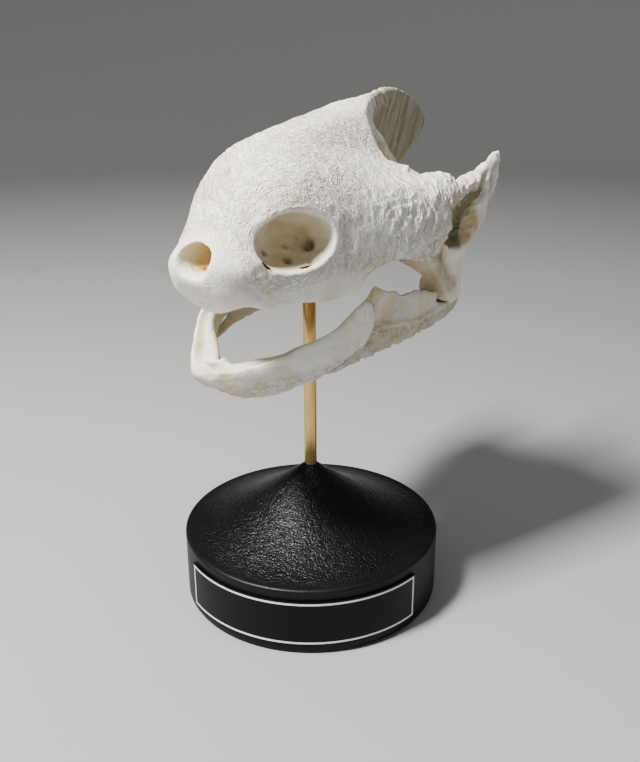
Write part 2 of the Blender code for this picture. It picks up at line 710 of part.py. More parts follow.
def main():
    for piece in list(bpy.data.objects):
        bpy.data.objects.remove(piece)
    scene = bpy.context.scene
    parts = bpy.data.collections.new("turtle_skull")
    cutters = bpy.data.collections.new("cutters")
    scene.collection.children.link(parts)
    scene.collection.children.link(cutters)

    cranium = make_cranium(parts, cutters)
    jaws = make_lower_jaw(parts, cutters)
    base, rod, label = make_stand(parts)

    seat = bpy.data.objects.new("skull_seat", None)
    parts.objects.link(seat)
    turn = Euler((math.radians(LEAN), math.radians(NOSE_DOWN), math.radians(YAW)), "XYZ")
    seat.rotation_euler = turn
    seat.location = Vector((0.0, 0.0, SEAT_HEIGHT * MM)) - turn.to_matrix() @ skull_point(SEAT_BACK, 0.0, SEAT_UP)
    for bone in [cranium] + jaws:
        bone.parent = seat
    bpy.context.view_layer.update()

    low = seat.matrix_world.inverted() @ Vector((0.0, 0.0, (SEAT_HEIGHT - 20.0) * MM))
    high = seat.matrix_world.inverted() @ Vector((0.0, 0.0, (SEAT_HEIGHT + SOCKET_DEPTH) * MM))
    socket = rod_shape("socket", low, high, (ROD_RADIUS + GAP) * MM, cutters)
    socket.parent = seat
    cut(cranium, [socket])
    keep_largest(cranium)

    bone_white = (0.82, 0.79, 0.70)
    for bone in [cranium] + jaws:
        finish(bone, bone_white, 0.55, 0.0)
        bone.data.shade_smooth()
    finish(base, (0.012, 0.012, 0.013), 0.38, 0.0)
    finish(rod, (0.72, 0.53, 0.25), 0.28, 1.0)
    finish(label, (0.02, 0.02, 0.022), 0.3, 0.0)
    for piece in (base, rod):
        piece.data.shade_smooth()
        piece.data.set_sharp_from_angle(angle=math.radians(35.0))


main()
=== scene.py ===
import json
import math
from collections import namedtuple

import bpy
import numpy as np
from bpy.props import FloatProperty, FloatVectorProperty, IntProperty, PointerProperty
from bpy.types import Operator, Panel, PropertyGroup
from mathutils import Euler, Matrix, Vector
from mathutils.bvhtree import BVHTree
from mathutils.kdtree import KDTree

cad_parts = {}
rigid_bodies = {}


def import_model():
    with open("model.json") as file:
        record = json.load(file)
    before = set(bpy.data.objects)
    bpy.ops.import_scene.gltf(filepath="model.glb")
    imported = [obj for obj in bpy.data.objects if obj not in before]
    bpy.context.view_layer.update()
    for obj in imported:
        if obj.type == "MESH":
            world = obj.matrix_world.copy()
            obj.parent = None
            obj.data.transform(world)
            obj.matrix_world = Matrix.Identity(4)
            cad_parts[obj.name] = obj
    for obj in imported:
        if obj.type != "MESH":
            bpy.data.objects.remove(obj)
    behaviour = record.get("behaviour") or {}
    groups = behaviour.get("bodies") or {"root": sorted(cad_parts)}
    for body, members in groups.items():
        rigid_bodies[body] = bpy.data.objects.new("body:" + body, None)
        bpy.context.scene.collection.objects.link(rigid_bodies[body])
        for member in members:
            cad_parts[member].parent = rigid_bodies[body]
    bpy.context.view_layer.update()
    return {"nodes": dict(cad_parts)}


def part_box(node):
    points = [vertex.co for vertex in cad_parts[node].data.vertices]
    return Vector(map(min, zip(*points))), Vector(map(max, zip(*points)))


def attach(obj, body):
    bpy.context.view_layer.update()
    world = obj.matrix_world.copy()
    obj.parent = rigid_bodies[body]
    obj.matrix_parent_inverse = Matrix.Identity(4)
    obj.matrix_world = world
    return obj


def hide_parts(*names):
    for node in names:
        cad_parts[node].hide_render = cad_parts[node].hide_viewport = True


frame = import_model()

bl_info = {
    "name": "Snapping Turtle Skull",
    "version": (1, 0, 0),
    "blender": (4, 5, 0),
    "location": "3D View > Sidebar > Skull",
    "description": "A snapping turtle skull on a brass rod and a black turned base",
    "category": "Object",
}

MM = 0.001
FIELDS = ("stain_and_shade", "rough", "upright", "stripe", "shade_and_tarnish", "clean", "amber", "tan_and_shade")

Pit = namedtuple("Pit", "back out up radius depth brown")
Slit = namedtuple("Slit", "middle along dark")

# Places on the skull in mm: back from the snout, out to its left, up from the biting edge
SOCKET_CENTRE = (25.5, 21.5, 25.0)
SOCKET_HALF = (13.6, 13.0, 9.1)
SOCKET_TURN = (10.0, -7.0, -17.0)
SOCKET_PITS = (
    Pit(36.4, 17.4, 19.6, 1.6, 1.5, 1.0),
    Pit(22.7, 10.6, 20.3, 0.9, 1.0, 0.9),
    Pit(31.1, 12.0, 19.7, 0.9, 0.6, 0.6),
    Pit(28.1, 15.4, 16.8, 1.3, 1.0, 0.9),
    Pit(31.5, 21.4, 16.3, 0.9, 0.6, 0.6),
    Pit(34.6, 15.2, 20.6, 3.4, 1.1, 0.03),
    Pit(21.0, 12.5, 22.0, 3.0, 0.5, 0.0),
    Pit(28.0, 12.0, 30.0, 5.0, 0.7, 0.0),
)
SLITS = (
    Slit((15.4, 17.1, 20.3), (0.57, 0.54, -0.62), 1.0),
    Slit((28.2, 21.7, 15.9), (0.87, 0.48, 0.10), 0.9),
)
NOSTRIL = (4.0, 0.0, 21.0)
NOSTRIL_AMBER = (8.0, -1.0, 17.2)
NOSTRIL_PITS = (
    Pit(8.2, -1.2, 17.2, 1.0, 1.4, 1.0),
    Pit(7.4, -2.6, 18.3, 2.6, 0.5, 0.35),
    Pit(8.8, 1.5, 17.9, 1.2, 1.6, 1.0),
)
RIGHT_CORNER = (17.5, -6.5, 35.5)
ROOF_NIB = (79.9, 27.0, 33.8)
CROWN_NIB = (37.0, -5.6, 49.2)
CHEEK_CORNER = (51.5, 31.5, 6.5)
HORN_TIP = (120.4, 38.7, 28.2)
EAR_CENTRE = (88.5, 44.5, 14.0)
EAR_HALF = (13.0, 9.0, 4.6)
EAR_TURN = 47.0
# How far out the ridge of the hinge post lies at each height
POST_RIDGE = ((-17.6, -13.8, -5.7, -2.0, 4.0), (38.6, 37.1, 31.5, 30.0, 28.5))
CHIN_PITS = (
    Pit(16.0, 17.6, -22.0, 0.6, 0.5, 0.3),
    Pit(24.0, 21.8, -21.5, 0.6, 0.5, 0.3),
    Pit(33.0, 25.8, -20.5, 0.6, 0.5, 0.3),
)
# How far out the lower jaw's outer face lies at each distance back
JAW_FACE = ((0.0, 1.0, 4.0, 8.6, 14.6, 21.4, 30.0, 42.0, 56.0),
            (0.0, 4.0, 8.0, 12.2, 16.7, 21.2, 25.4, 29.0, 31.4))
# How high the hind jaw's ledge lies at each distance back
JAW_LEDGE = ((52.0, 58.0, 66.0, 75.0, 92.0, 104.0), (-11.5, -12.9, -17.0, -19.6, -20.6, -19.5))
JAW_POINT = (57.0, 29.0, -0.5)

# Metres: the play round the rod and the floor of its hole above the drum,
# and how far the label stands off the drum and its inner face lies under that
ROD_PLAY = 0.0002
HOLE_FLOOR = 0.012
LABEL_PROUD = 0.0008
LABEL_SUNK = 0.0005


def length_setting(name, description, metres):
    return FloatProperty(name=name, description=description, default=metres, unit="LENGTH")


def angle_setting(name, description, degrees):
    angle = math.radians(degrees)
    return FloatProperty(name=name, description=description, default=angle, subtype="ANGLE")


def colour_setting(name, description, rgb):
    return FloatVectorProperty(name=name, description=description, default=rgb, subtype="COLOR", size=3)


def power_setting(name, description, watts):
    return FloatProperty(name=name, description=description, default=watts, unit="POWER")


class SkullSettings(PropertyGroup):
    """Place, surface sizes and colours of the bones."""

    seat_height: length_setting("Seat height", "Height at which the rod enters the skull", 0.1357)
    seat_back: length_setting("Seat back", "Distance of that place behind the snout", 0.060)
    seat_up: length_setting("Seat up", "Height of that place above the biting edge", 0.0083)
    yaw: angle_setting("Yaw", "Turn of the skull about the rod", -125.7)
    nose_down: angle_setting("Nose down", "Dip of the snout", 7.7)
    lean: angle_setting("Lean", "Lean of the skull to its side", -3.8)
    voxel: length_setting("Voxel", "Edge of the cells that the bone surface is rebuilt with", 0.00056)
    cranium_triangles: IntProperty(name="Cranium triangles", description="Triangles left in the cranium",
                                   default=192000)
    jaw_triangles: IntProperty(name="Jaw triangles", description="Triangles left in each lower jaw bone",
                               default=70000)
    white: colour_setting("White bone", "Bleached bone on the outside", (0.88, 0.87, 0.825))
    cream: colour_setting("Cream bone", "Blotches and the bottoms of the grooves", (0.68, 0.58, 0.35))
    # this colour is painted shade: on the crest's left face, deep in the ears, in the grooves of the hinge
    # posts and horns, and on the hind jaws' basins and lower parts
    shade: colour_setting("Shaded bone", "Painted shade on the crest, in the ears, grooves and recesses", (0.27, 0.24, 0.16))
    # tan is also painted shade on the jaws' inward faces and in the hind jaws' recesses
    tan: colour_setting("Tan bone", "Bone inside the hollows", (0.60, 0.47, 0.25))
    amber: colour_setting("Amber stain", "Stain low in the nostril", (0.78, 0.50, 0.14))
    # brown is stain in the small holes and painted shade in the furrows, the right socket's corner, the ears
    # and the hind jaws' recesses
    brown: colour_setting("Brown stain", "Stain in the small holes, painted shade in furrows and recesses", (0.23, 0.11, 0.03))
    # near-black painted shadow for the slits, which are not cut into the bone
    slit: colour_setting("Slit", "The dark inside the narrow slits of the eye sockets", (0.012, 0.009, 0.006))


class StandSettings(PropertyGroup):
    """Sizes and colours of the base, rod and label."""

    base_radius: length_setting("Base radius", "Outer radius of the base", 0.049)
    base_edge: length_setting("Base edge", "Radius of the softened edge of the base", 0.0009)
    drum_height: length_setting("Drum height", "Height of the upright side of the base", 0.0259)
    cone_height: length_setting("Cone height", "Height of the cone above the drum", 0.027)
    cone_curve: FloatProperty(name="Cone curve", description="Power of the cone's hollow curve", default=1.5)
    stipple: length_setting("Stipple", "Depth of the pebbled paint on the cone", 0.00013)
    rod_radius: length_setting("Rod radius", "Radius of the brass rod", 0.00235)
    rod_bevel: length_setting("Rod bevel", "Width of the bevel on the rod's ends", 0.0003)
    label_low: length_setting("Label foot", "Height of the label's lower edge", 0.004)
    label_high: length_setting("Label top", "Height of the label's upper edge", 0.022)
    label_left: angle_setting("Label left", "Angle of the label's left end from the front", -61.0)
    label_right: angle_setting("Label right", "Angle of the label's right end from the front", 49.5)
    label_thick: length_setting("Label thickness", "Thickness of the label", 0.0006)
    margin: length_setting("Margin", "Width of the black edge outside the frame line", 0.0006)
    line: length_setting("Frame line", "Width of the white line round the label", 0.0008)
    black: colour_setting("Black", "Satin black paint of the base", (0.005, 0.005, 0.0055))
    dust: colour_setting("Dust", "Dust and wear on the black paint", (0.026, 0.026, 0.028))
    plate: colour_setting("Plate black", "Black of the label", (0.003, 0.0033, 0.004))
    plate_worn: colour_setting("Plate wear", "Faded black of the label", (0.009, 0.0095, 0.011))
    line_white: colour_setting("Line white", "White of the frame line", (0.78, 0.79, 0.82))
    line_worn: colour_setting("Line wear", "Faded white of the frame line", (0.60, 0.62, 0.66))
    brass: colour_setting("Brass", "Colour of the brass rod", (0.76, 0.55, 0.25))
    brass_dull: colour_setting("Dull brass", "Tarnish on the brass rod", (0.50, 0.34, 0.15))


class StageSettings(PropertyGroup):
    """Floor, lights and camera."""

    floor_colour: colour_setting("Floor", "Colour of the plain floor", (0.42, 0.42, 0.415))
    floor_radius: length_setting("Floor radius", "Radius of the flat part of the floor", 1.1)
    floor_bend: length_setting("Floor bend", "Radius of the floor's curve up to its wall", 0.7)
    wall_height: length_setting("Wall height", "Height of the wall above the floor's curve", 0.5)
    key_power: power_setting("Key light", "Power of the small strong light at the upper left", 16.0)
    fill_power: power_setting("Fill light", "Power of the light at the right", 0.5)
    top_power: power_setting("Top light", "Power of the light overhead", 1.6)
    front_power: power_setting("Front light", "Power of the low light in front", 0.35)
    world_light: FloatProperty(name="Room light", description="Strength of the light from all round",
                               default=0.12)
    camera_pitch: angle_setting("Camera pitch", "How far the camera looks down", 21.6)
    camera_roll: angle_setting("Camera roll", "Turn of the camera about its view", -0.25)
    camera_away: length_setting("Camera distance", "Distance from the camera to its aim", 0.33341)
    camera_lens: FloatProperty(name="Camera lens", description="Focal length in heights of the picture",
                               default=900.0 / 762.0)
    aim_side: length_setting("Aim side", "Sideways place of the camera's aim", 0.0037)
    aim_height: length_setting("Aim height", "Height of the camera's aim", 0.08447)


def deselect_all():
    if bpy.context.object and bpy.context.object.mode != "OBJECT":
        bpy.ops.object.mode_set(mode="OBJECT")
    for piece in bpy.context.view_layer.objects:
        piece.select_set(False)


def make_active(piece):
    deselect_all()
    piece.select_set(True)
    bpy.context.view_layer.objects.active = piece


def apply_modifier(piece, kind, **settings):
    """Add one modifier with these settings and apply it."""
    make_active(piece)
    modifier = piece.modifiers.new(kind.title(), kind)
    for name, value in settings.items():
        setattr(modifier, name, value)
    bpy.ops.object.modifier_apply(modifier=modifier.name)


def read_points(mesh):
    """Vertex places and normals of a mesh as two tables of numbers."""
    count = len(mesh.vertices)
    places = np.empty(count * 3, dtype=np.float32)
    normals = np.empty(count * 3, dtype=np.float32)
    mesh.vertices.foreach_get("co", places)
    mesh.vertex_normals.foreach_get("vector", normals)
    return places.reshape(-1, 3).astype(float), normals.reshape(-1, 3).astype(float)


def write_points(mesh, places):
    mesh.vertices.foreach_set("co", places.astype(np.float32).ravel())
    mesh.update()


def write_field(mesh, name, values):
    """Keep one number for each vertex, for the material to read."""
    field = mesh.attributes.get(name)
    if field is None:
        field = mesh.attributes.new(name, "FLOAT", "POINT")
    field.data.foreach_set("value", values.astype(np.float32))


def smooth_step(low, high, value):
    """0 at low, 1 at high and a smooth change between."""
    part = np.clip((value - low) / (high - low), 0.0, 1.0)
    return part * part * (3.0 - 2.0 * part)


def bell(value, width):
    """1 at 0 and a smooth fall on both sides, to about a third at the width."""
    return np.exp(-(value / width) ** 2)


def lattice(points, size, seed):
    """Smooth random values from -1 to 1 that change over the given size, one for each point."""
    scaled = points / np.asarray(size, dtype=float) + 37.17 * seed
    cell = np.floor(scaled).astype(np.int64)
    part = scaled - cell
    part = part * part * part * (part * (part * 6.0 - 15.0) + 10.0)
    total = np.zeros(len(points))
    for corner in range(8):
        step = np.array([corner & 1, (corner >> 1) & 1, corner >> 2])
        key = cell + step
        mixed = key[:, 0] * 73856093 ^ key[:, 1] * 19349663 ^ key[:, 2] * 83492791 ^ (seed * 2654435)
        mixed = (mixed ^ (mixed >> 15)) * 2246822519 & 0xFFFFFFFF
        mixed = (mixed ^ (mixed >> 13)) * 3266489917 & 0xFFFFFFFF
        value = ((mixed ^ (mixed >> 16)) & 0xFFFF) / 32767.5 - 1.0
        weight = np.prod(np.where(step == 1, part, 1.0 - part), axis=1)
        total += value * weight
    return total


def folds(points, size, seed):
    """Winding ridges: 1 along each ridge and lower between."""
    return 1.0 - 2.2 * np.abs(lattice(points, size, seed))


def skull_turn():
    s = bpy.context.scene.skull_settings
    turn = Euler((s.lean, s.nose_down, s.yaw), "XYZ").to_matrix()
    seat = Vector((0.0, 0.0, s.seat_height)) - turn @ Vector((-s.seat_back, 0.0, s.seat_up))
    return np.array(turn), np.array(seat)


def skull_place(places):
    """Places in mm along the skull: back from the snout, out to its left, up from the biting edge."""
    turn, seat = skull_turn()
    local = (places - seat) @ turn / MM
    return np.column_stack((-local[:, 0], local[:, 1], local[:, 2]))


def skull_direction(normals):
    turn, seat = skull_turn()
    local = normals @ turn
    return np.column_stack((-local[:, 0], local[:, 1], local[:, 2]))


def world_place(local):
    """The opposite of skull_place."""
    turn, seat = skull_turn()
    back, out, up = local.T
    return np.column_stack((-back, out, up)) * MM @ turn.T + seat


def strongest(shares):
    """The largest of several values at each point."""
    return np.maximum.reduce(shares)


def bone_copy(node, name):
    """A merged copy of a CAD bone, with its place in its mesh."""
    source = frame["nodes"][node]
    mesh = source.data.copy()
    mesh.transform(source.matrix_world)
    mesh.materials.clear()
    piece = bpy.data.objects.new(name, mesh)
    bpy.context.scene.collection.objects.link(piece)
    make_active(piece)
    bpy.ops.object.mode_set(mode="EDIT")
    bpy.ops.mesh.select_all(action="SELECT")
    bpy.ops.mesh.remove_doubles(threshold=0.000005)
    bpy.ops.object.mode_set(mode="OBJECT")
    return piece


def count_triangles(mesh):
    return sum(len(face.vertices) - 2 for face in mesh.polygons)


def sky_lookup(piece):
    """How open each part of a bone is to the light round it: 1 outside, towards 0 deep in a hollow."""
    mesh = piece.data
    places, normals = read_points(mesh)
    faces = [tuple(face.vertices) for face in mesh.polygons]
    tree = BVHTree.FromPolygons([tuple(place) for place in places], faces)
    steps = [Vector((x, y, z)).normalized() for x in (-1, 0, 1) for y in (-1, 0, 1) for z in (-1, 0, 1)
             if (x, y, z) != (0, 0, 0)]
    seen = np.zeros(len(places))
    weight = np.zeros(len(places))
    starts = places + normals * 0.0006
    for direction in steps:
        lean = normals @ np.array(direction)
        for i in np.nonzero(lean > 0.12)[0]:
            weight[i] += lean[i]
            if tree.ray_cast(Vector(starts[i]), direction, 0.09)[0] is None:
                seen[i] += lean[i]
    sky = seen / np.maximum(weight, 0.001)
    near = KDTree(len(places))
    for i, place in enumerate(places):
        near.insert(place, i)
    near.balance()

    def look(points):
        found = np.empty(len(points))
        for i, point in enumerate(points):
            close = near.find_n(point, 4)
            found[i] = sum(sky[index] for spot, index, away in close) / len(close)
        return found

    return look


def on_both_sides(pits):
    """These pits and their mirror images on the other side of the skull."""
    return pits + tuple(pit._replace(out=-pit.out) for pit in pits)


class Surface:
    """Points of a bone in mm along the skull, with where they face and how open to the light they are."""

    def __init__(self, places, normals, sky):
        self.local = skull_place(places)
        self.facing = skull_direction(normals)
        self.sky = sky
        self.back, self.out, self.up = self.local.T
        self.side = np.abs(self.out)
        self.outward = self.facing[:, 1] * np.sign(self.out)

    def away(self, place, stretch=(1.0, 1.0, 1.0)):
        """Distance from a place, with each axis shortened by its stretch."""
        return np.linalg.norm((self.local - np.array(place)) / np.array(stretch), axis=1)

    def drift(self, size, seeds):
        """A random shift of each point, which bends a pattern."""
        return np.column_stack([lattice(self.local, size, seed) for seed in seeds])

    def pits(self, pits):
        """Depth and stain of small round pits."""
        depth = np.zeros(len(self.local))
        stain_and_shade = np.zeros(len(self.local))
        for pit in pits:
            away = self.away(pit[:3])
            depth += pit.depth * bell(away, pit.radius)
            stain_and_shade = np.maximum(stain_and_shade, pit.brown * bell(away, pit.radius * 1.35))
        return depth, stain_and_shade


def socket_level(local, side):
    """Below 1 inside the eye socket on this side and above 1 outside it."""
    turn = np.array(Euler([math.radians(angle) for angle in SOCKET_TURN], "XYZ").to_matrix())
    back, out, up = SOCKET_CENTRE
    away = np.column_stack((back - local[:, 0], side * local[:, 1] - out, local[:, 2] - up)) @ turn
    return np.linalg.norm(away / np.array(SOCKET_HALF), axis=1)


def rows_about_eyes(local, spread):
    """Places in which random values run in rows that circle the nearer eye socket."""
    back, out, up = local.T
    centre = SOCKET_CENTRE
    reach = np.sqrt((back - centre[0]) ** 2 + (np.abs(out) - centre[1]) ** 2 + (up - centre[2]) ** 2)
    return np.column_stack((reach, spread * up, spread * (back + 0.7 * out)))


class Cranium(Surface):
    """The cranium's surface, and how far each kind of bone reaches on it, from 0 to 1."""

    def __init__(self, places, normals, sky):
        super().__init__(places, normals, sky)
        back, side, up = self.back, self.side, self.up
        self.socket = np.minimum(socket_level(self.local, 1.0), socket_level(self.local, -1.0))
        self.outside = smooth_step(0.30, 0.50, sky) * smooth_step(-0.80, -0.45, self.facing[:, 2])
        self.outside *= smooth_step(0.98, 1.04, self.socket)
        self.rim = bell(self.socket - 1.06, 0.075) * smooth_step(0.4, 0.7, sky)
        self.beak = smooth_step(15.0, 8.0, up) * smooth_step(54.0, 40.0, back)
        self.cheek = smooth_step(40.0, 62.0, back) * smooth_step(40.0, 28.0, up)
        self.horn = smooth_step(97.0, 104.0, back + 0.2 * (up - 20.0)) * smooth_step(30.0, 34.0, side)
        self.crest = smooth_step(2.6, 1.9, side) * smooth_step(90.0, 97.0, back)
        self.post = smooth_step(84.0, 88.0, back) * smooth_step(7.0, 3.0, up) * smooth_step(20.0, 25.0, side)
        self.post_front = self.post * smooth_step(0.05, -0.35, self.facing[:, 0])
        self.past_ridge = side - np.interp(up, *POST_RIDGE)
        self.post_groove = bell(self.past_ridge - 3.4, 2.3) * self.post_front
        ear = smooth_step(82.0, 85.0, back) * smooth_step(111.0, 107.5, back) * smooth_step(2.5, 4.5, up)
        ear *= smooth_step(24.0, 20.5, up) * smooth_step(30.0, 33.0, side)
        self.ear = ear * smooth_step(0.15, 0.4, self.outward)
        # painted shadow in the deep front part of each ear slot, under the cheek's rear edge
        self.ear_shade = self.ear * smooth_step(2.2, 0.2, back - 98.0 - 0.72 * (up - 6.4))
        snout = smooth_step(15.0, 6.0, back)
        smooth_patch = bell(back - 84.0, 15.0) * bell(side - 7.0, 8.0) * smooth_step(38.0, 46.0, up)
        rough = self.outside * (1.0 - self.beak) * (1.0 - 0.8 * snout) * (1.0 - 0.55 * smooth_patch)
        rough *= (1.0 - self.horn) * (1.0 - self.crest)
        self.rough = rough * (1.0 - 0.85 * self.rim) * (1.0 - self.post)
        self.bend = self.drift(6.0, (3, 4, 5))
        length = np.column_stack((0.25 * back, self.out, up - 0.42 * back))
        self.horn_grooves = folds(length + 0.8 * self.bend, 2.5, 71)

    def wrinkles(self):
        """Fine wrinkles on the roof, coarse broken ones on the cheeks, and the gentle waves under both."""
        kink = self.drift(2.4, (6, 7, 8))
        rows = rows_about_eyes(self.local + 1.5 * self.bend + 0.5 * kink, 0.72)
        broken = rows_about_eyes(self.local + 1.6 * self.bend + 0.7 * kink, 0.85)
        fine = 0.55 * folds(rows, 2.3, 11) + 0.45 * folds(rows, 1.5, 12)
        coarse = 0.38 * folds(rows, 3.0, 22) + 0.62 * folds(broken, 2.2, 23)
        cheek_depth = 0.42 + 0.36 * smooth_step(50.0, 74.0, self.back)
        height = self.rough * (0.22 * (1.0 - self.cheek) * fine + cheek_depth * self.cheek * coarse)
        height += 0.20 * self.outside * lattice(self.local, 5.0, 31) * (1.0 - self.beak)
        height += 0.30 * self.outside * lattice(self.local, 12.0, 32) * (1.0 - 0.6 * self.beak)
        return height

    def furrow(self):
        """The ragged furrow behind each eye socket."""
        line = self.back - 42.5 - 0.10 * (self.up - 22.0) + 1.2 * lattice(self.local, 4.0, 41)
        height = smooth_step(13.0, 18.0, self.up) * smooth_step(31.0, 25.0, self.up)
        return bell(line, 2.0) * height * smooth_step(20.0, 24.0, self.side)

    def about_sockets(self):
        """A wall round each eye socket, a gutter down to the beak and a shelf on the left socket's floor."""
        height = (0.38 + 0.22 * lattice(self.local, 5.0, 33)) * self.rim
        gutter = bell(self.side - 17.5 - 0.3 * (self.back - 16.0), 1.3)
        gutter *= smooth_step(9.0, 12.0, self.up) * smooth_step(22.0, 17.0, self.up)
        height -= 0.5 * gutter * self.outside * smooth_step(25.0, 15.0, self.back)
        shelf = bell(socket_level(self.local, 1.0) - 1.0, 0.12) * bell(self.back - 30.0, 5.5)
        return height + 0.8 * shelf * bell(self.up - 19.3 + 0.25 * (self.back - 30.0), 1.0)

    def growth_lines(self):
        """Growth lines along the beak and slanting stripes on the faces of the crest."""
        along = folds(self.local * np.array([0.3, 0.3, 1.0]), 1.8, 51)
        height = self.beak * self.outside * (0.12 * along + 0.40 * lattice(self.local, 8.0, 52))
        back, out, up = self.back, self.out, self.up
        slant = np.column_stack((0.9 * back + 0.5 * up, 0.3 * out, 0.14 * (0.9 * up - 0.5 * back)))
        return height + self.crest * (0.26 * folds(slant, 1.9, 61) + 0.3 * lattice(self.local, 9.0, 62))

    def horns_and_posts(self):
        """Long grooves and a rounded tip on each horn, and a ridge and a groove down each hinge post."""
        height = 0.85 * self.horn * self.horn_grooves * smooth_step(0.2, 0.6, self.sky)
        height += 1.0 * bell(self.away(HORN_TIP), 4.0)
        height += 0.55 * self.post_front * bell(self.past_ridge, 1.0) - 1.1 * self.post_groove
        upright = folds(self.local * np.array([1.0, 1.0, 0.22]), 1.7, 75)
        return height + (0.10 + 0.45 * self.post_groove) * self.post * upright

    def nibs(self):
        """Ragged nibs on the roof's free edge, on the crown, on the cheek's front corner and lower edge."""
        ragged = 0.35 + np.maximum(lattice(self.local, 1.4, 81), -0.3)
        height = 1.5 * bell(self.away(ROOF_NIB), 2.2) * ragged
        height += 0.8 * bell(self.away(CROWN_NIB, (1.0, 3.0, 1.0)), 1.1)
        corner = bell(self.away(CHEEK_CORNER, (1.0, 1.0, 1.6)), 3.6)
        height += 1.4 * corner * np.maximum(lattice(self.local, 1.5, 82), -0.2)
        low_edge = smooth_step(0.25, 0.0, self.facing[:, 2]) * bell(self.up - 7.0, 4.0)
        low_edge *= smooth_step(52.0, 58.0, self.back) * self.cheek
        return height + 0.35 * low_edge * lattice(self.local, 1.5, 83)

    def slits(self):
        """Painted shadow in the narrow slits at the lower rim of each eye socket."""
        dark = np.zeros(len(self.local))
        for slit in SLITS:
            for mirror in (1.0, -1.0):
                flip = np.array([1.0, mirror, 1.0])
                axis = np.array(slit.along) * flip
                away = self.local - np.array(slit.middle) * flip
                run = away @ axis
                across = np.linalg.norm(away - run[:, None] * axis, axis=1)
                mark = bell(run, 2.6) * bell(across, 0.80)
                dark = np.maximum(dark, slit.dark * smooth_step(0.25, 0.6, mark) * 2.0)
        return dark

    def right_corner(self):
        """The front corner of the right eye socket, which reaches up beside the snout."""
        axis = np.array([0.60, -0.72, -0.35])
        away = self.local - np.array(RIGHT_CORNER)
        run = away @ (axis / np.linalg.norm(axis))
        across = np.sqrt(np.maximum((away ** 2).sum(axis=1) - run ** 2, 0.0))
        return bell(run, 4.2) * bell(across, 1.7)

    def relief(self):
        """Height in mm that the fine forms add, and the fields that the material reads."""
        furrow = self.furrow()
        corner = self.right_corner()
        pits, stain_and_shade = self.pits(on_both_sides(SOCKET_PITS) + NOSTRIL_PITS)
        height = self.wrinkles() + self.about_sockets() + self.growth_lines()
        height += self.horns_and_posts() + self.nibs() - pits - 1.1 * furrow - 1.7 * corner
        # brown in the pits is stain; brown in the furrow, the right corner and the ears is painted shade; the
        # slits are painted shadow
        stains_and_shades = (stain_and_shade, self.slits(), 0.16 * furrow, 0.12 * corner, 0.30 * self.ear_shade)
        # painted shade: the crest's face turned from the key light, the deep part of each ear, and the
        # grooves of the hinge posts and horns
        painted_shades = (0.85 * self.crest * smooth_step(-0.2, 0.4, self.facing[:, 1]), 1.25 * self.ear_shade,
                 0.55 * self.post_groove, 0.50 * self.horn * smooth_step(0.35, -0.4, self.horn_grooves))
        plate = self.ear * (1.0 - self.ear_shade)
        plate *= smooth_step(108.0, 106.0, self.back) * smooth_step(19.0, 16.0, self.up)
        tans_and_shades = (0.80 * plate, 0.46 * smooth_step(1.02, 0.94, self.socket),
                 0.55 * self.post_front * smooth_step(-0.4, -2.4, self.past_ridge))
        nostril = bell(self.away(NOSTRIL, (1.0, 1.0, 0.8)), 7.0)
        return height, {
            "stain_and_shade": strongest(stains_and_shades),
            "rough": self.rough * (1.0 - self.ear),
            "upright": self.cheek,
            "stripe": strongest((self.crest, 0.5 * self.post, 0.5 * self.horn)),
            "shade_and_tarnish": strongest(painted_shades),
            "clean": strongest((0.85 * nostril, 0.45 * smooth_step(1.0, 0.94, self.socket))),
            "amber": bell(self.away(NOSTRIL_AMBER), 3.2) * (self.back > 3.0),
            "tan_and_shade": strongest(tans_and_shades),
        }


class Dentary(Surface):
    """The front bone of the lower jaw."""

    def relief(self):
        """Height in mm that the fine forms add, and the fields that the material reads."""
        bent = self.local + 1.2 * self.drift(8.0, (6, 7, 8))
        low = smooth_step(-17.5, -22.5, self.up) * smooth_step(0.25, 0.6, self.sky)
        height = 0.12 * folds(bent * np.array([0.28, 0.28, 1.0]), 2.0, 101)
        height += 0.16 * lattice(self.local, 6.0, 102)
        height += 0.22 * lattice(self.local, 12.0, 103) + 0.32 * low * folds(bent, 2.2, 104)
        # the end of the bone is flaked and stands proud where it overlaps the hind bone
        end = smooth_step(43.0, 50.0, self.back)
        height += 0.25 * end * folds(self.local * np.array([1.0, 1.0, 0.35]), 2.2, 105)
        height += 0.9 * end * smooth_step(0.1, 0.5, self.outward)
        pits, stain_and_shade = self.pits(on_both_sides(CHIN_PITS))
        table = smooth_step(0.55, 0.9, self.facing[:, 2])
        table *= smooth_step(8.0, 14.0, self.back) * smooth_step(46.0, 38.0, self.back)
        blotch = smooth_step(-0.3, 0.5, lattice(self.local, 5.0, 106))
        # the tan on the faces turned inward is painted shade
        inner = smooth_step(0.15, 0.5, -self.outward) * smooth_step(6.0, 12.0, self.back)
        return height - pits, {"stain_and_shade": strongest((stain_and_shade, 0.16 * table * blotch)), "rough": 0.06 + 0.6 * low,
                               "stripe": 0.3 * end, "tan_and_shade": 0.55 * inner}

    def shape(self):
        """Thicken the chin's inner wall and lift the inner lower edge further back."""
        inner = smooth_step(1.4, 4.2, np.interp(self.back, *JAW_FACE) - self.side)
        lift = 3.6 * inner * smooth_step(-17.0, -21.5, self.up) * smooth_step(26.0, 42.0, self.back)
        wall = 2.0 * smooth_step(0.1, 0.7, -self.outward)
        wall *= bell(self.back - 19.0, 7.5) * smooth_step(-13.0, -16.0, self.up)
        return np.column_stack((self.back, self.out - np.sign(self.out) * wall, self.up + lift))


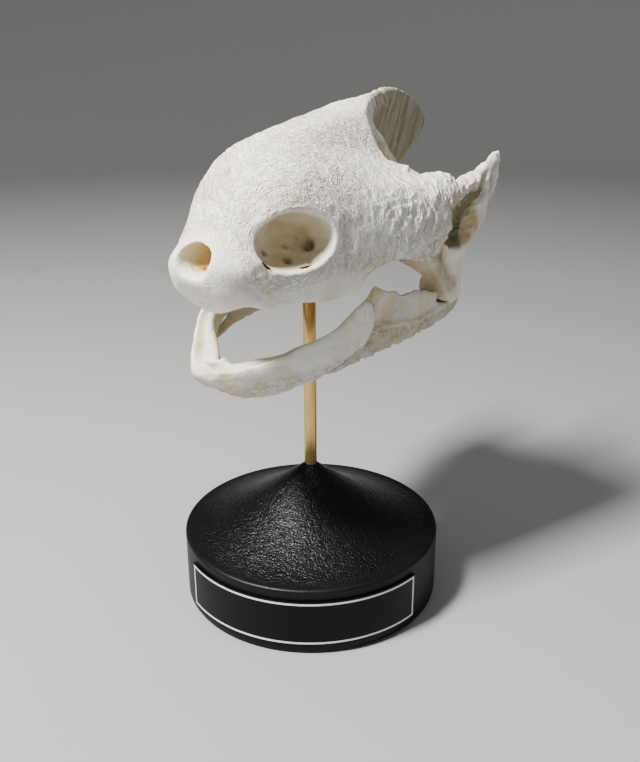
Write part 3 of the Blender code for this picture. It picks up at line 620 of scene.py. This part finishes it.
class HindJaw(Surface):
    """One hind bone of the lower jaw: smooth above its ledge and rough below."""

    def relief(self):
        """Height in mm that the fine forms add, and the fields that the material reads."""
        back, up = self.back, self.up
        bent = self.local + 1.5 * self.drift(6.0, (13, 14, 15))
        ledge = np.interp(back, *JAW_LEDGE)
        low = smooth_step(ledge + 1.5, ledge - 2.5, up)
        outer = smooth_step(0.1, 0.5, self.outward)
        slant = np.column_stack((0.8 * bent[:, 0] + 0.5 * bent[:, 2], 0.5 * bent[:, 1],
                                 0.22 * (0.8 * bent[:, 2] - 0.5 * bent[:, 0])))
        ridges = 0.65 * folds(slant, 2.3, 201) + 0.35 * folds(bent, 1.5, 202)
        height = 0.62 * low * (0.4 + 0.6 * outer) * ridges
        height += 0.3 * lattice(self.local, 7.0, 203) + 0.1 * folds(bent, 2.4, 204)
        line = bell(up - ledge - 0.8 * lattice(self.local, 5.0, 205), 1.1)
        height += 0.9 * outer * line * smooth_step(56.0, 62.0, back)
        # a shallow basin behind the upper point and a recess next to the front bone; both get painted shade,
        # and the recess is also tan
        basin = bell(back - 67.0, 9.0) * bell(up + 10.0 + 0.12 * (back - 66.0), 4.6) * outer
        recess = bell(back - 53.5 - 0.1 * (up + 8.0), 2.6) * smooth_step(-23.0, -17.0, up) * outer
        height -= 1.5 * basin + 0.9 * recess
        # tan in the recess and on the faces turned inward, brown in the recess and basin, and the shade
        # colour on the basin and lower rough part are painted shade
        tans_and_shades = (0.7 * recess, 0.45 * bell(self.away(JAW_POINT), 4.0),
                 0.35 * smooth_step(0.15, 0.5, -self.outward))
        stains_and_shades = (0.34 * recess + 0.04 * basin, 0.25 * bell(back - 104.0, 5.0) * low)
        return height, {"stain_and_shade": strongest(stains_and_shades), "rough": 0.12 + 0.8 * low, "upright": 0.8 * low,
                        "stripe": 0.3 * low, "shade_and_tarnish": 0.10 * basin + 0.25 * low, "tan_and_shade": strongest(tans_and_shades)}

    def shape(self):
        """Notch the upper front edge where it meets the front bone."""
        notch = 2.4 * smooth_step(58.5, 54.5, self.back) * bell(self.up + 4.2, 2.4)
        return np.column_stack((self.back + notch, self.out, self.up))


def ear_cutter(side):
    """The deep slot of the ear, just behind the cheek's rear edge on this side."""
    turn, seat = skull_turn()
    deselect_all()
    bpy.ops.mesh.primitive_uv_sphere_add(segments=40, ring_count=24, radius=1.0, location=(0.0, 0.0, 0.0))
    cutter = bpy.context.object
    back, out, up = EAR_CENTRE
    centre = turn @ (np.array([-back, out * side, up]) * MM) + seat
    angles = Matrix(turn.tolist()).to_4x4() @ Matrix.Rotation(math.radians(EAR_TURN), 4, "Y")
    sizes = Matrix.Diagonal([half * MM for half in EAR_HALF] + [1.0])
    cutter.matrix_world = Matrix.Translation(Vector(centre)) @ angles @ sizes
    make_active(cutter)
    bpy.ops.object.transform_apply(location=True, rotation=True, scale=True)
    return cutter


def make_bone(node, kind, triangles, rounds, cutters=()):
    """Rebuild a CAD bone with a fine surface, give it its relief and the fields its material reads."""
    s = bpy.context.scene.skull_settings
    piece = bone_copy(node, node + "_bone")
    for cutter in cutters:
        apply_modifier(piece, "BOOLEAN", operation="DIFFERENCE", solver="EXACT", object=cutter)
        bpy.data.objects.remove(cutter)
    apply_modifier(piece, "SUBSURF", levels=1, render_levels=1)
    look = sky_lookup(piece)
    apply_modifier(piece, "SUBSURF", levels=1, render_levels=1)
    apply_modifier(piece, "REMESH", mode="VOXEL", voxel_size=s.voxel)
    apply_modifier(piece, "SMOOTH", factor=0.5, iterations=rounds)
    mesh = piece.data
    places, normals = read_points(mesh)
    height, fields = kind(places, normals, look(places)).relief()
    places = places + normals * (height * MM)[:, None]
    if hasattr(kind, "shape"):
        places = world_place(kind(places, normals, None).shape())
    write_points(mesh, places)
    ratio = triangles / max(count_triangles(mesh), 1)
    if ratio < 1.0:
        apply_modifier(piece, "DECIMATE", ratio=ratio)
    mesh = piece.data
    places, normals = read_points(mesh)
    sky = look(places)
    height, fields = kind(places, normals, sky).relief()
    write_field(mesh, "sky", sky)
    for field in FIELDS:
        write_field(mesh, field, fields.get(field, np.zeros(len(places))))
    mesh.shade_smooth()
    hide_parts(node)
    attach(piece, "root")
    return piece


class Value:
    """A socket that carries one number, with the usual signs of arithmetic."""

    def __init__(self, look, socket):
        self.look = look
        self.socket = socket

    def maths(self, operation, first, second):
        node = self.look.add("ShaderNodeMath", {"operation": operation}, {0: first, 1: second})
        return Value(self.look, node.outputs[0])

    def __add__(self, other):
        return self.maths("ADD", self, other)

    def __radd__(self, other):
        return self.maths("ADD", other, self)

    def __sub__(self, other):
        return self.maths("SUBTRACT", self, other)

    def __rsub__(self, other):
        return self.maths("SUBTRACT", other, self)

    def __mul__(self, other):
        return self.maths("MULTIPLY", self, other)

    def __rmul__(self, other):
        return self.maths("MULTIPLY", other, self)

    def __pow__(self, other):
        return self.maths("POWER", self, other)

    def __abs__(self):
        return self.maths("ABSOLUTE", self, 0.0)

    def rise(self, low, high):
        """0 below low, 1 above high and a smooth rise between."""
        node = self.look.add("ShaderNodeMapRange", {"interpolation_type": "SMOOTHSTEP", "clamp": True},
                             {"Value": self, "From Min": low, "From Max": high})
        return Value(self.look, node.outputs["Result"])


class Finish:
    """One material: its Principled shader and the nodes that feed it."""

    def __init__(self, name, **constants):
        self.material = bpy.data.materials.new(name)
        self.material.use_nodes = True
        self.nodes = self.material.node_tree.nodes
        self.links = self.material.node_tree.links
        self.shader = self.nodes["Principled BSDF"]
        for socket, value in constants.items():
            self.shader.inputs[socket.replace("_", " ")].default_value = value

    def add(self, kind, settings=None, inputs=None):
        """Add a node, set its settings, then the values or links of its sockets."""
        node = self.nodes.new(kind)
        for name, value in (settings or {}).items():
            setattr(node, name, value)
        for name, value in (inputs or {}).items():
            self.feed(node.inputs[name], value)
        return node

    def feed(self, socket, value):
        if isinstance(value, Value):
            self.links.new(value.socket, socket)
        elif isinstance(value, bpy.types.NodeSocket):
            self.links.new(value, socket)
        else:
            socket.default_value = value

    def field(self, name):
        node = self.add("ShaderNodeAttribute", {"attribute_type": "GEOMETRY", "attribute_name": name})
        return Value(self, node.outputs["Fac"])

    def places(self):
        return self.add("ShaderNodeTexCoord").outputs["Object"]

    def mapped(self, vector, scale=(1.0, 1.0, 1.0), rotation=(0.0, 0.0, 0.0), location=(0.0, 0.0, 0.0),
               kind="POINT"):
        node = self.add("ShaderNodeMapping", {"vector_type": kind},
                        {"Vector": vector, "Location": location, "Rotation": rotation, "Scale": scale})
        return node.outputs["Vector"]

    def split(self, vector):
        node = self.add("ShaderNodeSeparateXYZ", None, {0: vector})
        return [Value(self, node.outputs[i]) for i in range(3)]

    def joined(self, x, y, z):
        return self.add("ShaderNodeCombineXYZ", None, {0: x, 1: y, 2: z}).outputs[0]

    def noise(self, vector, size, detail=3.0, roughness=0.55, distortion=0.0):
        """Cloudy values about 0.5, with forms of the given size in metres."""
        node = self.add("ShaderNodeTexNoise", {"noise_dimensions": "3D"},
                        {"Vector": vector, "Scale": 1.0 / size, "Detail": detail, "Roughness": roughness,
                         "Distortion": distortion})
        return Value(self, node.outputs["Fac"])

    def mix(self, share, first, second):
        """Colour from first to second by share."""
        node = self.add("ShaderNodeMix", {"data_type": "RGBA", "clamp_factor": True}, {0: share})
        self.feed(node.inputs[6], first)
        self.feed(node.inputs[7], second)
        return node.outputs[2]

    def bump(self, height, distance, strength=1.0):
        inputs = {"Height": height, "Distance": distance, "Strength": strength}
        return self.add("ShaderNodeBump", None, inputs).outputs["Normal"]

    def set(self, socket, value):
        self.feed(self.shader.inputs[socket], value)


def colour(rgb):
    return (rgb[0], rgb[1], rgb[2], 1.0)


def bone_finish(name, warmth):
    """Bleached bone: white outside, cream in its grooves, tan in its hollows, brown in its small holes,
    painted shade on the crest's left face, in the ears, furrows and recesses and on the jaws' inward faces,
    and painted shadow in the slits.
    """
    s = bpy.context.scene.skull_settings
    look = Finish(name, Subsurface_Weight=0.10, Subsurface_Scale=0.0010, IOR=1.5, Specular_IOR_Level=0.40)
    turn = Euler((s.lean, s.nose_down, s.yaw), "XYZ")
    seat = tuple(skull_turn()[1])
    place = look.mapped(look.places(), rotation=tuple(turn), location=seat, kind="TEXTURE")
    sky = look.field("sky")
    stain_and_shade, rough, upright, stripe, shade_and_tarnish, clean, amber, tan_and_shade = [look.field(name) for name in FIELDS]
    # fine rows that circle the nearer eye socket
    x, y, z = look.split(place)
    back = x + SOCKET_CENTRE[0] * MM
    aside = abs(y) - SOCKET_CENTRE[1] * MM
    above = z - SOCKET_CENTRE[2] * MM
    reach = (back * back + aside * aside + above * above) ** 0.5
    rows = look.joined(reach, 0.5 * z, 0.5 * (0.7 * y - x))
    tall = look.joined(reach, 0.42 * z, 0.42 * (0.7 * y - x))
    # long streaks that slant with the crest
    lean = look.mapped(place, rotation=(0.0, math.radians(29.0), 0.0))
    long = look.mapped(lean, scale=(1.0, 0.4, 0.10))
    weave = look.noise(rows, 0.0016, 2.5, 0.62, 0.7)
    waves = look.noise(tall, 0.0023, 2.5, 0.58, 0.6)
    crease = 1.0 - abs(weave - 0.5).rise(0.0, 0.075)
    fold = 1.0 - abs(waves - 0.5).rise(0.0, 0.085)
    drawn = look.noise(long, 0.0016, 3.0, 0.6)
    broken = look.noise(place, 0.0035, 2.0, 0.5).rise(0.42, 0.60)
    lines = rough * broken * (crease * (1.0 - upright) + fold * upright)
    blotch = look.noise(place, 0.014, 4.0, 0.6, 0.4).rise(0.40, 0.68)
    speck = look.noise(place, 0.0019, 3.0, 0.65).rise(0.54, 0.72)
    cream_share = 0.50 * blotch + 0.26 * speck + 0.30 * lines + warmth
    tint = look.mix(cream_share, colour(s.white), colour(s.cream))
    hollow = (1.0 - sky).rise(0.20, 0.72) * (1.0 - clean)
    tint = look.mix(0.90 * hollow, tint, colour(s.tan))
    # tan: the bone's own colour in the sockets, ear walls and hinge posts, and painted shade on the jaws'
    # inward faces and recesses
    tint = look.mix(tan_and_shade * (0.8 + 0.4 * blotch), tint, colour(s.tan))
    # painted shade on the crest's left face, in the ears and in grooves and recesses
    tint = look.mix(shade_and_tarnish * (0.3 + 1.25 * drawn), tint, colour(s.shade))
    tint = look.mix(0.75 * amber, tint, colour(s.amber))
    rust = look.noise(place, 0.006, 3.0, 0.6).rise(0.3, 0.8)
    # brown: stain in the small holes, painted shade in furrows, corners, ears and recesses
    tint = look.mix((stain_and_shade * (0.75 + 0.5 * rust)).rise(0.05, 0.95), tint, colour(s.brown))
    # near-black painted shadow in the slits
    tint = look.mix(stain_and_shade.rise(1.1, 1.5), tint, colour(s.slit))
    look.set("Base Color", tint)
    look.set("Roughness", 0.50 + 0.16 * look.noise(place, 0.004, 3.0) + 0.08 * rough)
    fine = look.noise(place, 0.0007, 3.0, 0.6)
    grain = look.noise(look.mapped(place, scale=(0.3, 1.0, 1.0)), 0.0011, 2.0, 0.5)
    texture = (1.0 - upright) * (1.3 * weave - 0.35 * crease) + upright * (1.6 * waves - 0.45 * fold)
    height = rough * (texture + 0.35 * fine) + 0.20 * grain + 0.12 * fine + 0.7 * stripe * drawn
    look.set("Normal", look.bump(height, 0.0009, 0.95))
    return look.material


class SKULL_OT_cranium(Operator):
    """Rebuild the cranium with rough roof and cheeks, smooth beak, striped crest with painted shade on its
    left face, and stained eye sockets with painted shadow in their slits
    """

    bl_idname = "skull.cranium"
    bl_label = "Cranium"

    def execute(self, context):
        s = context.scene.skull_settings
        cutters = [ear_cutter(1.0), ear_cutter(-1.0)]
        piece = make_bone("cranium", Cranium, s.cranium_triangles, 8, cutters)
        piece.data.materials.append(bone_finish("bleached_skull_bone", 0.0))
        return {"FINISHED"}


class SKULL_OT_lower_jaw(Operator):
    """Rebuild the smooth front bone of the lower jaw and its two rough hind bones"""

    bl_idname = "skull.lower_jaw"
    bl_label = "Lower jaw"

    def execute(self, context):
        s = context.scene.skull_settings
        front = make_bone("dentary", Dentary, s.jaw_triangles, 9)
        front.data.materials.append(bone_finish("smooth_jaw_bone", 0.06))
        hind = bone_finish("striated_jaw_bone", 0.20)
        for side in ("left", "right"):
            node = "hindjaw_" + side
            piece = make_bone(node, HindJaw, s.jaw_triangles, 7)
            piece.data.materials.append(hind)
        return {"FINISHED"}


def cone_top(radius):
    """Height of the cone's surface at this distance from the rod."""
    s = bpy.context.scene.stand_settings
    part = max(0.0, (s.base_radius - radius) / s.base_radius)
    return s.drum_height + s.cone_height * part ** s.cone_curve


def base_profile():
    """Outline of the base from the rod hole over the cone and down the drum to the middle of the foot."""
    s = bpy.context.scene.stand_settings
    bore = s.rod_radius + ROD_PLAY
    floor = s.drum_height + HOLE_FLOOR
    cone_reach = s.base_radius - s.base_edge
    outline = [(0.0, floor), (bore, floor)]
    outline += [(bore, cone_top(bore) - depth) for depth in (0.004, 0.002, 0.001)]
    cone_steps = 96
    for i in range(cone_steps + 1):
        place = bore + (cone_reach - bore) * i / cone_steps
        outline.append((place, cone_top(place)))
    low = s.drum_height - s.base_edge
    edge_steps = 5
    for i in range(1, edge_steps + 1):
        angle = 0.5 * math.pi * (1.0 - i / edge_steps)
        outline.append((cone_reach + s.base_edge * math.cos(angle), low + s.base_edge * math.sin(angle)))
    foot = 0.0008
    drum_steps = 29
    outline += [(s.base_radius, low + (foot - low) * i / drum_steps) for i in range(1, drum_steps + 1)]
    return outline + [(s.base_radius - foot, 0.0), (s.base_radius * 0.5, 0.0), (0.0, 0.0)]


def black_finish():
    """Satin black paint: pebbled on the cone, with fine turning marks on the drum."""
    s = bpy.context.scene.stand_settings
    look = Finish("satin_black_paint", IOR=1.5, Specular_IOR_Level=0.38)
    place = look.places()
    cone = look.split(place)[2].rise(s.drum_height - 0.0004, s.drum_height + 0.0012)
    dust = look.noise(place, 0.0016, 4.0, 0.7).rise(0.62, 0.80)
    tone = look.noise(place, 0.02, 3.0).rise(0.3, 0.7)
    tint = look.mix(0.25 * dust + 0.12 * tone, colour(s.black), colour(s.dust))
    look.set("Base Color", tint)
    look.set("Roughness", 0.40 - 0.14 * cone + 0.10 * look.noise(place, 0.003, 2.0))
    pebble = look.noise(place, 0.00075, 2.0, 0.5, 0.3)
    rings = look.noise(look.mapped(place, scale=(0.05, 0.05, 1.0)), 0.0005, 2.0, 0.5)
    height = cone * pebble * 1.6 + (1.0 - cone) * (0.18 * rings + 0.22 * pebble)
    look.set("Normal", look.bump(height, 0.00026))
    return look.material


class STAND_OT_base(Operator):
    """Turn the round base and pebble the paint on its cone"""

    bl_idname = "skull.stand_base"
    bl_label = "Base"

    def execute(self, context):
        s = context.scene.stand_settings
        outline = base_profile()
        mesh = bpy.data.meshes.new("turned_base")
        edges = [(i, i + 1) for i in range(len(outline) - 1)]
        mesh.from_pydata([(x, 0.0, z) for x, z in outline], edges, [])
        piece = bpy.data.objects.new("turned_base", mesh)
        context.scene.collection.objects.link(piece)
        make_active(piece)
        bpy.ops.object.mode_set(mode="EDIT")
        bpy.ops.mesh.select_all(action="SELECT")
        bpy.ops.mesh.spin(steps=360, angle=2.0 * math.pi, center=(0.0, 0.0, 0.0), axis=(0.0, 0.0, 1.0))
        bpy.ops.mesh.select_all(action="SELECT")
        bpy.ops.mesh.remove_doubles(threshold=0.00001)
        bpy.ops.mesh.normals_make_consistent(inside=False)
        bpy.ops.object.mode_set(mode="OBJECT")
        places, normals = read_points(piece.data)
        radius = np.hypot(places[:, 0], places[:, 1])
        top = normals[:, 2] > 0.2
        near = smooth_step(0.0028, 0.0050, radius)
        near *= smooth_step(s.base_radius - 0.0006, s.base_radius - 0.0030, radius)
        points = places / MM
        bent = points + 0.4 * lattice(points, 2.0, 301)[:, None]
        pebble = 0.7 * lattice(bent, 1.25, 302) + 0.3 * lattice(points, 0.8, 303)
        lift = np.where(top, pebble * near, 0.0) * s.stipple
        write_points(piece.data, places + normals * lift[:, None])
        piece.data.shade_smooth()
        make_active(piece)
        bpy.ops.object.shade_smooth_by_angle(angle=math.radians(50.0))
        piece.data.materials.append(black_finish())
        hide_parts("stand_base")
        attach(piece, "root")
        return {"FINISHED"}


class STAND_OT_rod(Operator):
    """Make the straight brass rod with its drawn finish"""

    bl_idname = "skull.stand_rod"
    bl_label = "Rod"

    def execute(self, context):
        s = context.scene.stand_settings
        low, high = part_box("stand_rod")
        deselect_all()
        bpy.ops.mesh.primitive_cylinder_add(vertices=72, radius=s.rod_radius, depth=high[2] - low[2],
                                            location=(0.0, 0.0, 0.5 * (high[2] + low[2])))
        piece = context.object
        piece.name = "brass_rod_piece"
        bpy.ops.object.transform_apply(location=True, rotation=True, scale=True)
        bpy.ops.object.mode_set(mode="EDIT")
        bpy.ops.mesh.select_all(action="DESELECT")
        bpy.ops.object.mode_set(mode="OBJECT")
        for edge in piece.data.edges:
            ends = [piece.data.vertices[i].co.z for i in edge.vertices]
            edge.select = abs(ends[0] - ends[1]) < 0.0001
        bpy.ops.object.mode_set(mode="EDIT")
        bpy.ops.mesh.select_mode(type="EDGE")
        bpy.ops.mesh.bevel(offset=s.rod_bevel, segments=2, affect="EDGES")
        bpy.ops.object.mode_set(mode="OBJECT")
        bpy.ops.object.shade_smooth_by_angle(angle=math.radians(40.0))
        look = Finish("drawn_brass", Metallic=1.0, Specular_IOR_Level=0.5)
        place = look.places()
        drawn = look.noise(look.mapped(place, scale=(1.0, 1.0, 0.012)), 0.00022, 3.0, 0.6)
        shade_and_tarnish = look.noise(place, 0.009, 4.0, 0.65, 0.5).rise(0.40, 0.72)
        tint = look.mix(0.35 * shade_and_tarnish + 0.20 * drawn, colour(s.brass), colour(s.brass_dull))
        look.set("Base Color", tint)
        look.set("Roughness", 0.17 + 0.12 * shade_and_tarnish + 0.10 * drawn)
        look.set("Normal", look.bump(drawn, 0.00003, 0.6))
        piece.data.materials.clear()
        piece.data.materials.append(look.material)
        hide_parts("stand_rod")
        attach(piece, "root")
        return {"FINISHED"}


def label_marks(low, high, margin, line, step):
    """Places of the label's edges, its frame line's edges and even steps between."""
    marks = [low, low + margin, low + margin + line]
    inner = high - margin - line - marks[-1]
    count = max(2, int(inner / step))
    start = marks[-1]
    marks += [start + inner * (i + 1) / count for i in range(count)]
    marks += [high - margin, high]
    return marks


class STAND_OT_label(Operator):
    """Bend the thin black label round the drum and lay its white frame line"""

    bl_idname = "skull.stand_label"
    bl_label = "Label"

    def execute(self, context):
        s = context.scene.stand_settings
        radius = s.base_radius + LABEL_PROUD
        across = label_marks(s.label_left * radius, s.label_right * radius, s.margin, s.line, 0.0012)
        upright = label_marks(s.label_low, s.label_high, s.margin, s.line, 0.0016)
        deselect_all()
        columns = len(across) - 1
        rows = len(upright) - 1
        bpy.ops.mesh.primitive_grid_add(x_subdivisions=columns, y_subdivisions=rows, size=2.0,
                                        location=(0.0, 0.0, 0.0))
        piece = context.object
        piece.name = "label_piece"
        mesh = piece.data
        inside = radius - LABEL_SUNK
        for vertex in mesh.vertices:
            column = int(round((vertex.co.x + 1.0) * 0.5 * columns))
            row = int(round((vertex.co.y + 1.0) * 0.5 * rows))
            angle = across[column] / radius
            vertex.co = (inside * math.sin(angle), -inside * math.cos(angle), upright[row])
        mesh.update()
        for face in mesh.polygons:
            turn = math.atan2(face.center.x, -face.center.y) * radius
            z = face.center.z
            inside_margin = across[1] < turn < across[-2] and upright[1] < z < upright[-2]
            inside_line = across[2] < turn < across[-3] and upright[2] < z < upright[-3]
            face.material_index = 1 if inside_margin and not inside_line else 0
        plate = Finish("label_black", IOR=1.48, Specular_IOR_Level=0.32)
        place = plate.places()
        worn = 0.35 * plate.noise(place, 0.002, 3.0).rise(0.4, 0.8)
        plate.set("Base Color", plate.mix(worn, colour(s.plate), colour(s.plate_worn)))
        plate.set("Roughness", 0.34 + 0.14 * plate.noise(place, 0.004, 3.0))
        plate.set("Normal", plate.bump(plate.noise(place, 0.0009, 2.0), 0.00003, 0.5))
        white = Finish("label_line_white", IOR=1.48, Specular_IOR_Level=0.4)
        place = white.places()
        worn = 0.25 * white.noise(place, 0.0012, 3.0).rise(0.4, 0.8)
        white.set("Base Color", white.mix(worn, colour(s.line_white), colour(s.line_worn)))
        white.set("Roughness", 0.42 + 0.12 * white.noise(place, 0.002, 3.0))
        white.set("Normal", white.bump(white.noise(place, 0.0006, 2.0), 0.00002, 0.5))
        mesh.materials.append(plate.material)
        mesh.materials.append(white.material)
        apply_modifier(piece, "SOLIDIFY", thickness=s.label_thick, offset=1.0, use_even_offset=True)
        make_active(piece)
        bpy.ops.object.mode_set(mode="EDIT")
        bpy.ops.mesh.select_all(action="SELECT")
        bpy.ops.mesh.normals_make_consistent(inside=False)
        bpy.ops.object.mode_set(mode="OBJECT")
        bpy.ops.object.shade_smooth_by_angle(angle=math.radians(35.0))
        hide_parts("stand_label")
        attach(piece, "root")
        return {"FINISHED"}


def soft_light(name, place, size, power, tint):
    """A rectangular light that faces the middle of the skull."""
    light = bpy.data.lights.new(name, "AREA")
    light.shape = "RECTANGLE"
    light.size = size[0]
    light.size_y = size[1]
    light.energy = power
    light.color = tint
    lamp = bpy.data.objects.new(name, light)
    bpy.context.scene.collection.objects.link(lamp)
    aim = Vector(place) - Vector((0.0, 0.0, 0.11))
    turn = aim.to_track_quat("Z", "Y").to_matrix().to_4x4()
    lamp.matrix_world = Matrix.Translation(Vector(place)) @ turn


class STAGE_OT_set(Operator):
    """Lay the plain floor, hang the soft lights and set the camera at the photograph's angle"""

    bl_idname = "skull.stage"
    bl_label = "Stage"

    def execute(self, context):
        s = context.scene.stage_settings
        deselect_all()
        bpy.ops.mesh.primitive_circle_add(vertices=160, radius=s.floor_radius, fill_type="NGON",
                                          location=(0.0, 0.0, 0.0))
        floor = context.object
        floor.name = "floor_dish"
        bpy.ops.object.mode_set(mode="EDIT")
        bpy.ops.mesh.select_mode(type="EDGE")
        bpy.ops.mesh.select_all(action="SELECT")
        bpy.ops.mesh.region_to_loop()
        # the rim curves up all round, then stands upright
        steps = 14
        reach = s.floor_radius
        rise = 0.0
        for i in range(1, steps + 1):
            angle = 0.5 * math.pi * i / steps
            next_reach = s.floor_radius + s.floor_bend * math.sin(angle)
            next_rise = s.floor_bend * (1.0 - math.cos(angle))
            grow = next_reach / reach
            bpy.ops.mesh.extrude_edges_move(TRANSFORM_OT_translate={"value": (0.0, 0.0, next_rise - rise)})
            bpy.ops.transform.resize(value=(grow, grow, 1.0), center_override=(0.0, 0.0, 0.0))
            reach = next_reach
            rise = next_rise
        bpy.ops.mesh.extrude_edges_move(TRANSFORM_OT_translate={"value": (0.0, 0.0, s.wall_height)})
        bpy.ops.mesh.select_all(action="SELECT")
        bpy.ops.mesh.normals_make_consistent(inside=True)
        bpy.ops.object.mode_set(mode="OBJECT")
        floor.data.shade_smooth()
        look = Finish("pale_floor", Specular_IOR_Level=0.3)
        place = look.places()
        tone = look.noise(place, 0.25, 2.0)
        red, green, blue = s.floor_colour
        darker = (red * 0.95, green * 0.95, blue * 0.95)
        look.set("Base Color", look.mix(0.5 * tone, colour((red, green, blue)), colour(darker)))
        look.set("Roughness", 0.62 + 0.1 * tone)
        floor.data.materials.append(look.material)
        soft_light("key_light", (-0.42, -0.28, 0.80), (0.16, 0.16), s.key_power, (1.0, 0.985, 0.96))
        soft_light("fill_light", (0.75, -0.35, 0.40), (0.7, 0.5), s.fill_power, (0.90, 0.95, 1.0))
        soft_light("top_light", (0.05, 0.10, 0.95), (0.7, 0.7), s.top_power, (1.0, 1.0, 1.0))
        soft_light("front_light", (0.05, -0.80, 0.30), (0.35, 0.25), s.front_power, (1.0, 1.0, 1.0))
        world = bpy.data.worlds.new("room")
        context.scene.world = world
        world.use_nodes = True
        world.node_tree.nodes["Background"].inputs[0].default_value = (0.92, 0.95, 1.0, 1.0)
        world.node_tree.nodes["Background"].inputs[1].default_value = s.world_light
        lens = bpy.data.cameras.new("camera")
        lens.sensor_fit = "VERTICAL"
        lens.sensor_height = 36.0
        lens.lens = s.camera_lens * lens.sensor_height
        lens.clip_start = 0.01
        camera = bpy.data.objects.new("camera", lens)
        context.scene.collection.objects.link(camera)
        behind = Vector((0.0, -math.cos(s.camera_pitch), math.sin(s.camera_pitch)))
        stand = Vector((s.aim_side, 0.0, s.aim_height)) + behind * s.camera_away
        turn = (-behind).to_track_quat("-Z", "Y").to_matrix().to_4x4()
        camera.matrix_world = Matrix.Translation(stand) @ turn @ Matrix.Rotation(s.camera_roll, 4, "Z")
        context.scene.camera = camera
        context.scene.view_settings.look = "AgX - Medium High Contrast"
        return {"FINISHED"}


class SKULL_PT_panel(Panel):
    """Buttons that make the skull, its stand and the stage"""

    bl_idname = "SKULL_PT_panel"
    bl_label = "Snapping turtle skull"
    bl_space_type = "VIEW_3D"
    bl_region_type = "UI"
    bl_category = "Skull"

    def draw(self, context):
        layout = self.layout
        for operator in OPERATORS:
            layout.operator(operator.bl_idname)
        scene = context.scene
        for settings in (scene.skull_settings, scene.stand_settings, scene.stage_settings):
            box = layout.box()
            for name in settings.__annotations__:
                box.prop(settings, name)


GROUPS = (SkullSettings, StandSettings, StageSettings)
OPERATORS = (SKULL_OT_cranium, SKULL_OT_lower_jaw, STAND_OT_base, STAND_OT_rod, STAND_OT_label, STAGE_OT_set)


def register():
    for kind in GROUPS + OPERATORS + (SKULL_PT_panel,):
        bpy.utils.register_class(kind)
    bpy.types.Scene.skull_settings = PointerProperty(type=SkullSettings)
    bpy.types.Scene.stand_settings = PointerProperty(type=StandSettings)
    bpy.types.Scene.stage_settings = PointerProperty(type=StageSettings)


def unregister():
    del bpy.types.Scene.stage_settings
    del bpy.types.Scene.stand_settings
    del bpy.types.Scene.skull_settings
    for kind in reversed(GROUPS + OPERATORS + (SKULL_PT_panel,)):
        bpy.utils.unregister_class(kind)


def main():
    register()
    bpy.ops.skull.stage()
    bpy.ops.skull.stand_base()
    bpy.ops.skull.stand_rod()
    bpy.ops.skull.stand_label()
    bpy.ops.skull.cranium()
    bpy.ops.skull.lower_jaw()
    deselect_all()


if __name__ == "__main__":
    main()
